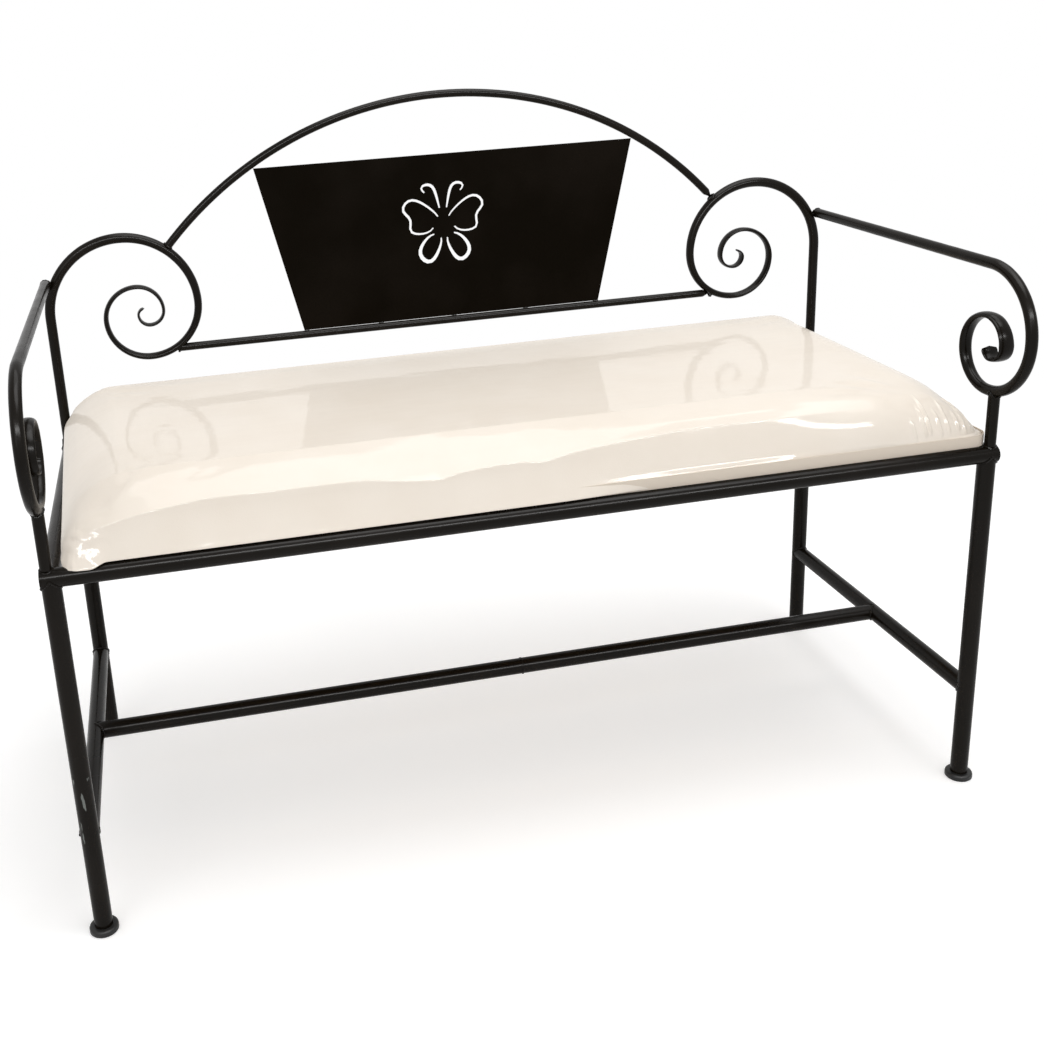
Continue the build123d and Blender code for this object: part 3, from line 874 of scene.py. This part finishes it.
def blow_up(pad):
    """Cloth under pressure for a few frames, pinned at the stapled edge, with capped movement."""
    before = coordinates(pad.data)
    pins = pad.vertex_groups.new(name="pins")
    low = np.nonzero(before[:, 2] < PAD_LOW.z + PIN_HEIGHT)[0]
    pins.add([int(index) for index in low], 1.0, "REPLACE")
    cloth = pad.modifiers.new("cloth", "CLOTH")
    cloth.settings.quality = 4
    cloth.settings.mass = 0.25
    cloth.settings.tension_stiffness = 12
    cloth.settings.compression_stiffness = 12
    cloth.settings.bending_stiffness = 1.2
    cloth.settings.use_pressure = True
    cloth.settings.uniform_pressure_force = PRESSURE
    cloth.settings.vertex_group_mass = "pins"
    cloth.settings.effector_weights.gravity = 0
    cloth.collision_settings.use_collision = False
    cloth.point_cache.frame_end = CLOTH_FRAMES
    for number in range(1, CLOTH_FRAMES + 1):
        bpy.context.scene.frame_set(number)
    settle(pad)
    bpy.context.scene.frame_set(1)
    move = coordinates(pad.data) - before
    far = np.linalg.norm(move, axis=1, keepdims=True)
    kept = before + move * np.minimum(1, MOVE_CAP / np.maximum(far, 1e-9))
    pad.data.vertices.foreach_set("co", kept.ravel())
    print(f"cloth moved up to {far.max() * 1000:.1f} mm, capped at {MOVE_CAP * 1000:.1f}")


blow_up(pad)

# %% [markdown]
# One subdivision smooths the skin, and its open underside is closed. The strip along the front edge
# is cut finer still, and its right-hand end once more, because the folds of the cover are there: it is
# drawn over the foam's edge in one wavy fold, gathers stand at the right-hand corner, the left-hand
# corner is crumpled and hangs a little over the rail, and on the right the board's edge shows below
# the foam. A bump in the material could draw them, but not at the seat's outline. The skin is also
# pushed clear of the four posts that it stands between.

# %% Fine mesh along the front
FRONT_STRIP = 0.075
GATHER_FROM = 0.38
POST_GAP = 0.0012


def refine(pad):
    fine = pad.modifiers.new("fine", "SUBSURF")
    fine.levels = 1
    fine.render_levels = 1
    settle(pad)
    shape = bmesh.new()
    shape.from_mesh(pad.data)
    bmesh.ops.edgeloop_fill(shape, edges=[edge for edge in shape.edges if edge.is_boundary])
    for left_end in (LEFT_EDGE - 0.1, GATHER_FROM):
        picked = set()
        for face in shape.faces:
            place = face.calc_center_median()
            if place.y < FRONT_EDGE + FRONT_STRIP and place.x > left_end and face.normal.z > -0.5:
                picked.update(face.edges)
        bmesh.ops.subdivide_edges(shape, edges=list(picked), cuts=1, use_grid_fill=True, smooth=0.0)
    bmesh.ops.recalc_face_normals(shape, faces=shape.faces)
    shape.to_mesh(pad.data)
    shape.free()


def clear_posts(points):
    """Moves that dent the skin where a post stands against it."""
    move = np.zeros_like(points)
    for side in SIDES.values():
        for y in ENDS.values():
            off = points[:, :2] - (side * POST_X, y)
            far = np.maximum(np.linalg.norm(off, axis=1, keepdims=True), 1e-6)
            move[:, :2] += off / far * np.maximum(BAR_R + POST_GAP - far, 0)
    return move


def shape_pad(pad, move):
    pad.data.vertices.foreach_set("co", (coordinates(pad.data) + move).ravel())
    pad.data.update()
    pad.data.shade_smooth()


refine(pad)
shape_pad(pad, clear_posts(coordinates(pad.data)))
print(len(pad.data.polygons), "faces after refining")

# %% [markdown]
# The fold is a line along the front, typed as a few points of length and of angle on the rolled edge.
# Seen in section that edge is an ellipse; above the fold it is pulled flat towards the top, below the
# fold flat towards the lower edge. Each point's own angle says which of the two it belongs to.

# %% Fold along the front edge
FOLD_X = (-0.457, -0.443, -0.423, -0.399, -0.34, -0.27, -0.187, -0.139, -0.108, -0.09, -0.052, -0.022,
          -0.005, 0.025, 0.067, 0.119, 0.151, 0.193, 0.278)
FOLD_ANGLE = (27.9, 31.8, 36.2, 41.2, 49.2, 48.0, 47.5, 39.7, 36.8, 42.3, 45.3, 45.3, 41.8, 48.8, 54.0,
              58.7, 61.9, 61.5, 60.4)
FOLD_STEPS, FOLD_SOFT = 400, 7
FOLD_START, FOLD_END = (-0.475, -0.43), (0.24, 0.36)
FACET_END = 0.030
FOLD_PULL = 0.85


def roll_point(angle):
    """Distance in from the front and height, at an angle on the rolled edge."""
    on_roll = np.clip(angle, 0, np.pi / 2)
    inwards = ROLL_IN * (1 - np.cos(on_roll)) + FACET_END * np.clip(angle - np.pi / 2, 0, 1)
    return inwards, ROLL_LOW + (ROLL_HIGH - ROLL_LOW) * np.sin(on_roll)


def fold(points, normals):
    """How far to move each point so that the rolled edge becomes two flats with a fold between."""
    x, y, z = points.T
    inwards = y - FRONT_EDGE
    height = z - PAD_LOW.z
    up = np.clip((height - ROLL_LOW) / (ROLL_HIGH - ROLL_LOW), 0, 1)
    back = np.clip((ROLL_IN - inwards) / ROLL_IN, 0, 1)
    angle = np.arctan2(up, back) + np.clip((inwards - ROLL_IN) / FACET_END, 0, 1)
    steps = np.linspace(FOLD_X[0], FOLD_X[-1], FOLD_STEPS)
    line = np.interp(steps, FOLD_X, np.radians(FOLD_ANGLE))
    soft = np.ones(FOLD_SOFT) / FOLD_SOFT
    line = np.convolve(np.pad(line, FOLD_SOFT // 2, mode="edge"), soft, mode="valid")
    crest = np.interp(x, steps, line)
    last = np.pi / 2 + 1
    share = np.where(angle > crest, (angle - crest) / (last - crest), angle / crest)
    in_a, up_a = roll_point(np.where(angle > crest, crest, 0 * crest))
    in_b, up_b = roll_point(np.where(angle > crest, last, crest))
    in_now, up_now = roll_point(angle)
    wanted_in = in_a + (in_b - in_a) * share
    wanted_up = up_a + (up_b - up_a) * share
    strength = FOLD_PULL * smoothstep(x, *FOLD_START) * (1 - smoothstep(x, *FOLD_END))
    strength = strength * (height > ROLL_LOW) * (inwards < ROLL_IN + FACET_END) * (normals[:, 2] > -0.3)
    move = np.zeros_like(points)
    move[:, 1] = (wanted_in - in_now) * strength
    move[:, 2] = (wanted_up - up_now) * strength
    return move


shape_pad(pad, fold(coordinates(pad.data), coordinates(pad.data, "normal")))
print(len(FOLD_X), "points give the fold's line")

# %% [markdown]
# Gathers follow the outline of the seat, so each point first gets its length along the front and round
# the right-hand corner, and its distance inside the outline.

# %% Lengths along the seat's outline
def along_outline(x, y):
    """Length along the front, counted from where the right-hand corner's round begins."""
    centre_x = RIGHT_EDGE - CORNER_R
    centre_y = FRONT_EDGE + CORNER_R
    angle = np.arctan2(x - centre_x, centre_y - y)
    on_round = CORNER_R * np.clip(angle, 0, np.pi / 2)
    past = CORNER_R * np.pi / 2 + y - centre_y
    return np.where(x < centre_x, x - centre_x, np.where(y > centre_y, past, on_round))


def inside_outline(x, y):
    """How far a point is inside the seat's widest outline, and the way out in plan."""
    to_end, to_side, side_x, side_y = edge_distances(x, y)
    over_x, over_y = np.maximum(CORNER_R - to_end, 0), np.maximum(CORNER_R - to_side, 0)
    over = np.maximum(np.hypot(over_x, over_y), 1e-9)
    return CORNER_R - over, side_x * over_x / over, side_y * over_y / over


# %% [markdown]
# Where the cover is taken round a corner it has cloth to spare. On the right that stands in narrow
# gathers, and on the left it is crumpled. The gathers are typed one by one, because even spacing would
# look machine made; the crumples are a noise that fades away from the corner.

# %% Gathers and crumples
GATHERS = (-0.077, -0.064, -0.058, -0.046, -0.036, -0.024, -0.016, -0.009, 0.0, 0.008, 0.018, 0.026)
GATHER_WIDE = 0.0017
GATHER_DEPTH = 0.0019
GATHER_LEAN, GATHER_MIDDLE = 0.16, 0.040
GATHER_LOW, GATHER_HIGH, GATHER_FADE = 0.013, 0.038, 0.008
GATHER_BACK = 0.05
CRUMPLE = 0.0013
CRUMPLE_IN, CRUMPLE_FADE, CRUMPLE_REACH = 0.018, 0.024, 0.06


def gathers(length, height):
    """Narrow ridges at typed places, leaning a little, each of its own length."""
    push = np.zeros_like(length)
    for number, place in enumerate(GATHERS):
        lean = place + GATHER_LEAN * (GATHER_MIDDLE - height)
        low, high = GATHER_LOW + 0.002 * (number % 3), GATHER_HIGH + 0.004 * ((number * 2) % 5)
        ends = smoothstep(height, low, low + GATHER_FADE)
        ends = ends * (1 - smoothstep(height, high - GATHER_FADE, high + GATHER_FADE / 2))
        push += np.exp(-((length - lean) / GATHER_WIDE) ** 2) * ends * (0.7 + 0.15 * ((number * 3) % 4))
    return GATHER_DEPTH * push


def crumples(points):
    """Uneven small dents near the lower left-hand corner."""
    corner = Vector((left_edge(FRONT_EDGE) + CRUMPLE_IN, FRONT_EDGE, PAD_LOW.z + CRUMPLE_IN))
    push = np.zeros(len(points))
    near = np.nonzero(np.linalg.norm(points - np.array(corner), axis=1) < CRUMPLE_REACH)[0]
    for index in near:
        place = Vector(points[index])
        fade = math.exp(-((place - corner).length / CRUMPLE_FADE) ** 2)
        dents = mathutils.noise.noise(Vector((place.x * 90 + place.z * 60, place.y * 70, place.z * 130)))
        push[index] = fade * CRUMPLE * dents
    return push


# %% [markdown]
# Below the foam the skin hides the board's wrapped edge on the left and draws in behind it on the
# right, where that edge shows. At the left-hand corner the cover hangs down to the rail.

# %% Creases, board edge and hanging corner
BOARD_EDGE = 0.0125
BARE_FROM, BARE_TO = 0.0, 0.14
HEM_BARE, BARE_IN = 0.0048, (0.008, 0.014)
HEM_COVER = 0.0026
COVER_HEIGHT, COVER_IN = (0.010, 0.038), (0.014, 0.026)
HANG = 0.0036
HANG_OUT = 0.0045
HANG_ALONG, HANG_IN, HANG_HEIGHT = (-0.452, -0.436), (0.006, 0.016), (0.0, 0.02)


def crease(points, normals):
    """How far to move each point for the gathers, the crumples, the board's edge and the hanging corner."""
    x, y, z = points.T
    height = z - PAD_LOW.z
    push = gathers(along_outline(x, y), height) * (y < FRONT_EDGE + GATHER_BACK) + crumples(points)
    move = normals * push[:, None]
    inset, way_x, way_y = inside_outline(x, y)
    bare = smoothstep(x, BARE_FROM, BARE_TO)
    low = bare * (1 - smoothstep(height, BOARD_EDGE - 0.001, BOARD_EDGE + 0.001))
    shift = (inset - HEM_BARE) * low * (1 - smoothstep(inset, *BARE_IN))
    covered = (1 - bare) * (1 - smoothstep(height, *COVER_HEIGHT))
    shift += HEM_COVER * covered * (1 - smoothstep(inset, *COVER_IN))
    hanging = (1 - smoothstep(x, *HANG_ALONG)) * (1 - smoothstep(y - FRONT_EDGE, *HANG_IN))
    hanging = hanging * (1 - smoothstep(height, *HANG_HEIGHT))
    move[:, 0] += way_x * shift
    move[:, 1] += way_y * shift - HANG_OUT * hanging
    move[:, 2] -= HANG * hanging
    return move


shape_pad(pad, crease(coordinates(pad.data), coordinates(pad.data, "normal")))
print(len(GATHERS), "gathers at the right-hand corner")

# %% [markdown]
# The cover is cream cloth under a clear film. The cloth is a rough cream base with a fine weave; the
# film is the shader's coat, nearly smooth. Its own slack wrinkles are in the coat's normal: long
# shallow ones over the whole seat, and a patch of fine creases on the fold. So the scrolls and the
# panel mirror softly in the seat while the cloth below stays matt.

# %% Cover material
CLOTH_CREAM = (0.80, 0.73, 0.645)
CLOTH_SHADE = (0.775, 0.70, 0.61)
FILM_ROUGH = 0.07
CREASED_LEFT, CREASED_RIGHT, CREASED_FRONT = (-0.26, -0.20), (-0.06, -0.13), (-0.10, -0.13)


def cover():
    material, tree, shader, place = new_material("filmed_cloth", CLOTH_CREAM, 0.85)
    cloud = ramp(tree, noise(tree, place, 14, 4), 0.35, 0.7)
    tree.links.new(blend_colour(tree, cloud, CLOTH_CREAM, CLOTH_SHADE), shader.inputs["Base Color"])
    shader.inputs["Specular IOR Level"].default_value = 0.1
    shader.inputs["Coat Weight"].default_value = 0.45
    shader.inputs["Coat Roughness"].default_value = FILM_ROUGH
    weave = noise(tree, place, 900, 1)
    tree.links.new(bump(tree, weave, 0.0003, 0.3), shader.inputs["Normal"])
    slack = noise(tree, place, 16, 2, (1.0, 2.6, 1.0))
    fine = noise(tree, place, 60, 3, (0.06, 2.0, 2.0))
    parts = add(tree, "ShaderNodeSeparateXYZ", Vector=place).outputs
    near = calc(tree, "MULTIPLY", ramp(tree, parts["X"], *CREASED_LEFT),
                ramp(tree, parts["X"], *CREASED_RIGHT))
    near = calc(tree, "MULTIPLY", near, ramp(tree, parts["Y"], *CREASED_FRONT))
    film = calc(tree, "ADD", slack, calc(tree, "MULTIPLY", fine, calc(tree, "MULTIPLY", near, 0.8)))
    tree.links.new(bump(tree, film, 0.006, 0.08), shader.inputs["Coat Normal"])
    return material


COVER = cover()
pad.data.materials.clear()
pad.data.materials.append(COVER)
dress(pad, "cover", "seat_pad")
print("seat cover dressed")

# %% [markdown]
# Under the seat the board shows between the rails: plain plywood, with the grain along the seat. Cloth
# is wrapped round its edge, and steel staples hold it.

# %% Plywood, hem cloth and wire
def plywood():
    material, tree, shader, place = new_material("plywood", (0.55, 0.38, 0.22), 0.7)
    grain = noise(tree, place, 30, 5, (0.12, 2.2, 1.0))
    dark, pale = (0.42, 0.27, 0.145), (0.60, 0.43, 0.26)
    tree.links.new(blend_colour(tree, ramp(tree, grain, 0.35, 0.65), dark, pale), shader.inputs["Base Color"])
    tree.links.new(bump(tree, grain, 0.0004, 0.4), shader.inputs["Normal"])
    return material


# The hem is the same cream cloth as the cover, painted a darker cream: painted shade for the shadow under the
# foam's overhang.
def hem_cloth_painted_shade():
    material, tree, shader, place = new_material("hem_cloth_painted_shade", (0.71, 0.625, 0.53), 0.9)
    shader.inputs["Specular IOR Level"].default_value = 0.1
    tree.links.new(bump(tree, noise(tree, place, 900, 1), 0.0003, 0.4), shader.inputs["Normal"])
    return material


def wire():
    material, tree, shader, place = new_material("staple_wire", (0.55, 0.55, 0.56), 0.35)
    shader.inputs["Metallic"].default_value = 1.0
    return material


paint("seat_board", plywood())
print("board painted")

# %% [markdown]
# The cloth goes round the board's edge and is turned under as a margin. That is one L-shaped section
# all along, so a section is swept along the board's outline, and a wider path at the right-hand end
# stands for the cloth that bunches there.

# %% Hem round the board
BOARD_LOW, BOARD_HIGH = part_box("seat_board")
BOARD_MID = (BOARD_LOW + BOARD_HIGH) / 2
BOARD_ROUND = 0.015
# Outwards from the board's edge and down from its underside.
HEM_SECTION = [(0.0011, -0.0128), (0.0013, -0.0060), (0.0011, 0.0001), (0.0008, 0.00026),
               (-0.0185, 0.00026), (-0.0185, 0.00004), (0.0004, 0.00004), (0.0004, -0.0128)]
HEM_BUNCH = 0.0155


def outline_path(name, inset, bunch=0.0):
    """Closed path round the board at its underside, inset from its edge, wider at the right-hand end."""
    corner = BOARD_ROUND - inset
    reach = (BOARD_HIGH - BOARD_MID).xy - Vector((BOARD_ROUND, BOARD_ROUND))
    points = []
    for number, (sx, sy) in enumerate(((1, -1), (1, 1), (-1, 1), (-1, -1))):
        wider = bunch if sx > 0 else 0.0
        x, y = BOARD_MID.x + sx * reach.x + wider, BOARD_MID.y + sy * reach.y
        for step in range(0, 91, 10):
            angle = math.radians(90 * number - 90 + step)
            points.append((x + corner * math.cos(angle), y + corner * math.sin(angle), BOARD_LOW.z))
    return path_curve(name, [(points, True)])


def hem_tree(section):
    """Sweeps a closed section along a level path, upright all the way."""
    tree, given, out = new_tree("hem", {})
    upright = add(tree, "GeometryNodeSetCurveNormal", {"mode": "Z_UP"}, Curve=given["Geometry"])
    swept = add(tree, "GeometryNodeCurveToMesh", Curve=upright.outputs[0],
                Profile_Curve=model_of(tree, section))
    close_tree(tree, swept.outputs[0], given["Material"], out)
    return tree


section_line = path_curve("hem_section", [([(u, v, 0) for u, v in HEM_SECTION], True)])
section = bpy.data.objects.new("hem_section", section_line)
hem = make("board_hem", outline_path("board_edge", 0.0, HEM_BUNCH), hem_tree(section), hem_cloth_painted_shade())
dress(hem, "cover")
print("hem", [round(v, 4) for v in hem.bound_box[0]], [round(v, 4) for v in hem.bound_box[6]])

# %% [markdown]
# Staples along the margin are copies on points spaced evenly on a smaller outline, each turned along
# it. One staple is a small box with its edges broken.

# %% Staples
STAPLE_INSET = 0.008
STAPLE_PITCH = 0.045
STAPLE_LOW, STAPLE_HIGH = (-0.005, -0.0005, -0.0008), (0.005, 0.0005, -0.0002)
BLOCK_BEVEL = 0.00012


def staple_tree(name, model):
    """Copies of a model along a path, each turned along it."""
    tree, given, out = new_tree(name, {"Pitch": STAPLE_PITCH})
    points = add(tree, "GeometryNodeCurveToPoints", {"mode": "LENGTH"}, Curve=given["Geometry"],
                 Length=given["Pitch"])
    turn = add(tree, "FunctionNodeAlignRotationToVector", {"axis": "X"}, Vector=points.outputs["Tangent"])
    copies = add(tree, "GeometryNodeInstanceOnPoints", Points=points.outputs["Points"],
                 Instance=model_of(tree, model), Rotation=turn.outputs[0])
    close_tree(tree, copies.outputs[0], given["Material"], out)
    return tree


def block(name, low, high):
    """A small bevelled box as a model for copies."""
    shape = bmesh.new()
    bmesh.ops.create_cube(shape, size=1)
    for vert in shape.verts:
        vert.co = [a + (b - a) * (co + 0.5) for a, b, co in zip(low, high, vert.co)]
    bmesh.ops.bevel(shape, geom=shape.edges, offset=BLOCK_BEVEL, segments=1, affect="EDGES")
    return bpy.data.objects.new(name, mesh_from(name, shape))


staple = block("staple_model", STAPLE_LOW, STAPLE_HIGH)
staple_line = outline_path("staple_line", STAPLE_INSET)
staples = make("hem_staples", staple_line, staple_tree("staples", staple), wire())
dress(staples, "enamel")
print("staples set along the hem")

# %% [markdown]
# Three small tabs welded to the inside of each long rail hold the seat, with a pan-head screw up
# through each into the board. One tab and one screw are made, and the same tree sets the copies.

# %% Seat tabs and screws
SCREW_R = 0.0045
SCREW_H = 0.0026
TAB_X = 0.32
TAB_HALF = 0.0125
TAB_T = 0.003
TAB_TOP = SEAT_Z - 0.0004
TAB_REACH = (0.004, 0.033)
SCREW_IN = 0.023


def screw_profile():
    """A low dome hanging down from the tab's underside."""
    points = [(0.0, 0.0008), (SCREW_R, 0.0008), (SCREW_R, -SCREW_H * 0.35)]
    for step in range(30, 91, 20):
        angle = math.radians(step)
        points.append((SCREW_R * math.cos(angle) + 0.0004, -SCREW_H * (0.35 + 0.65 * math.sin(angle))))
    return points + [(0.0, -SCREW_H)]


def seat_copies(name, inward, low, model):
    """One model behind both rails, turned so that it always points to the middle."""
    pieces = []
    for y, sign in ((FRONT_Y, 1), (REAR_Y, -1)):
        places = [(x, y + sign * inward, low) for x in (-TAB_X, 0, TAB_X)]
        pieces.append(make(name, points_mesh(name, places), copies_tree(name, model(sign)), ENAMEL))
    return dress(join(name, pieces), "enamel")


def tab_model(sign):
    reach = sorted(sign * y for y in TAB_REACH)
    return block("tab_model", (-TAB_HALF, reach[0], -TAB_T), (TAB_HALF, reach[1], 0))


seat_copies("seat_tabs", 0.0, TAB_TOP, tab_model)
seat_copies("seat_screws", SCREW_IN, TAB_TOP - TAB_T, lambda sign: turned("screw_model", screw_profile(), 32))
print("tabs and screws made")

# %% [markdown]
# The photograph is cut out on white. So the floor is plain and pale, keeps the shadow near the bench,
# and glows white far away, where it meets a white surround with no line between them.

# %% Floor
FLOOR_PALE = (0.84, 0.84, 0.84)
FLOOR_GLOW = 0.32
FLOOR_NEAR, FLOOR_FAR = 0.9, 1.9
FLOOR_HALF = 15.0


def seen_rays(tree):
    """1 for what the camera sees, straight on, in a mirror or through something clear."""
    path = tree.nodes.new("ShaderNodeLightPath").outputs
    seen = calc(tree, "MAXIMUM", path["Is Camera Ray"], path["Is Glossy Ray"])
    return calc(tree, "MAXIMUM", seen, path["Is Transmission Ray"])


def floor_material():
    material, tree, shader, place = new_material("pale_floor", FLOOR_PALE, 0.9)
    shader.inputs["Specular IOR Level"].default_value = 0.0
    shader.inputs["Emission Color"].default_value = (1, 1, 1, 1)
    seen = seen_rays(tree)
    far = ramp(tree, vec(tree, "LENGTH", place), FLOOR_NEAR, FLOOR_FAR)
    glow = calc(tree, "ADD", FLOOR_GLOW, calc(tree, "MULTIPLY", far, 1 - FLOOR_GLOW))
    tree.links.new(calc(tree, "MULTIPLY", seen, glow), shader.inputs["Emission Strength"])
    tree.links.new(blend_colour(tree, calc(tree, "MULTIPLY", far, seen), FLOOR_PALE, (0, 0, 0)),
                   shader.inputs["Base Color"])
    return material


floor_mesh = bpy.data.meshes.new("floor")
floor_corners = [(x * FLOOR_HALF, y * FLOOR_HALF, 0) for x, y in ((-1, -1), (1, -1), (1, 1), (-1, 1))]
floor_mesh.from_pydata(floor_corners, [], [(0, 1, 2, 3)])
floor_mesh.materials.append(floor_material())
floor = bpy.data.objects.new("floor", floor_mesh)
bpy.context.scene.collection.objects.link(floor)
print("floor laid")

# %% White surround
WORLD_FILL = 0.74


def white_world():
    world = bpy.data.worlds.new("white_room")
    world.use_nodes = True
    tree = world.node_tree
    ground = tree.nodes["Background"]
    ground.inputs["Color"].default_value = (1, 1, 1, 1)
    tree.links.new(ramp(tree, seen_rays(tree), 0, 1, WORLD_FILL, 1.0), ground.inputs["Strength"])
    bpy.context.scene.world = world


white_world()
print(f"surround lights the bench at {WORLD_FILL}")

# %% [markdown]
# Soft light comes from a big lamp over the front and a fill from the left. Black paint and clear film
# show little more than what they mirror, so two more lamps are there for the gloss only: a bright
# ceiling for the seat, and a long strip behind the camera for the thin lines along the tubes.

# %% Lamps
def lamp(name, place, aim, wide, tall, power):
    light = bpy.data.lights.new(name, "AREA")
    light.shape = "RECTANGLE"
    light.size = wide
    light.size_y = tall
    light.energy = power
    holder = bpy.data.objects.new(name, light)
    holder.location = place
    holder.rotation_euler = (Vector(aim) - Vector(place)).to_track_quat("-Z", "Y").to_euler()
    bpy.context.scene.collection.objects.link(holder)
    return holder


SEAT_MIDDLE = (0, 0, 0.45)
lamp("key", (0.4, -0.5, 2.8), SEAT_MIDDLE, 1.6, 1.6, 31)
lamp("fill", (-2.0, -2.2, 1.6), SEAT_MIDDLE, 1.6, 1.6, 10)
ceiling = lamp("ceiling_panel", (0.6, 0.2, 2.8), (0.6, 0.2, 0), 2.6, 2.6, 60)
strip = lamp("strip", (0.0, -2.2, 1.75), SEAT_MIDDLE, 3.4, 0.3, 75)
for mirrored in (ceiling, strip):
    mirrored.visible_diffuse = False
print("lamps set")

# %% [markdown]
# The camera stands where the photograph was taken. The photograph is an off-centre crop, so the lens
# axis lies left of and above the middle of the picture, which the camera's shift gives back.

# %% Camera
PICTURE = 1047
FOCAL_PIXELS = 1259.3
AXIS_PIXEL = (404.9, 404.2)
SENSOR = 36.0
CAMERA_PLACE = (-0.3482, -1.3049, 0.8984)
CAMERA_TURN = (72.271, 3.213, -11.387)
camera = bpy.data.cameras.new("camera")
camera.sensor_width = SENSOR
camera.lens = SENSOR * FOCAL_PIXELS / PICTURE
camera.shift_x = (PICTURE / 2 - AXIS_PIXEL[0]) / PICTURE
camera.shift_y = -(PICTURE / 2 - AXIS_PIXEL[1]) / PICTURE
holder = bpy.data.objects.new("camera", camera)
holder.location = CAMERA_PLACE
holder.rotation_euler = [math.radians(angle) for angle in CAMERA_TURN]
bpy.context.scene.collection.objects.link(holder)
bpy.context.scene.camera = holder
bpy.context.scene.view_settings.view_transform = "Standard"
print(f"lens {camera.lens:.1f} mm")
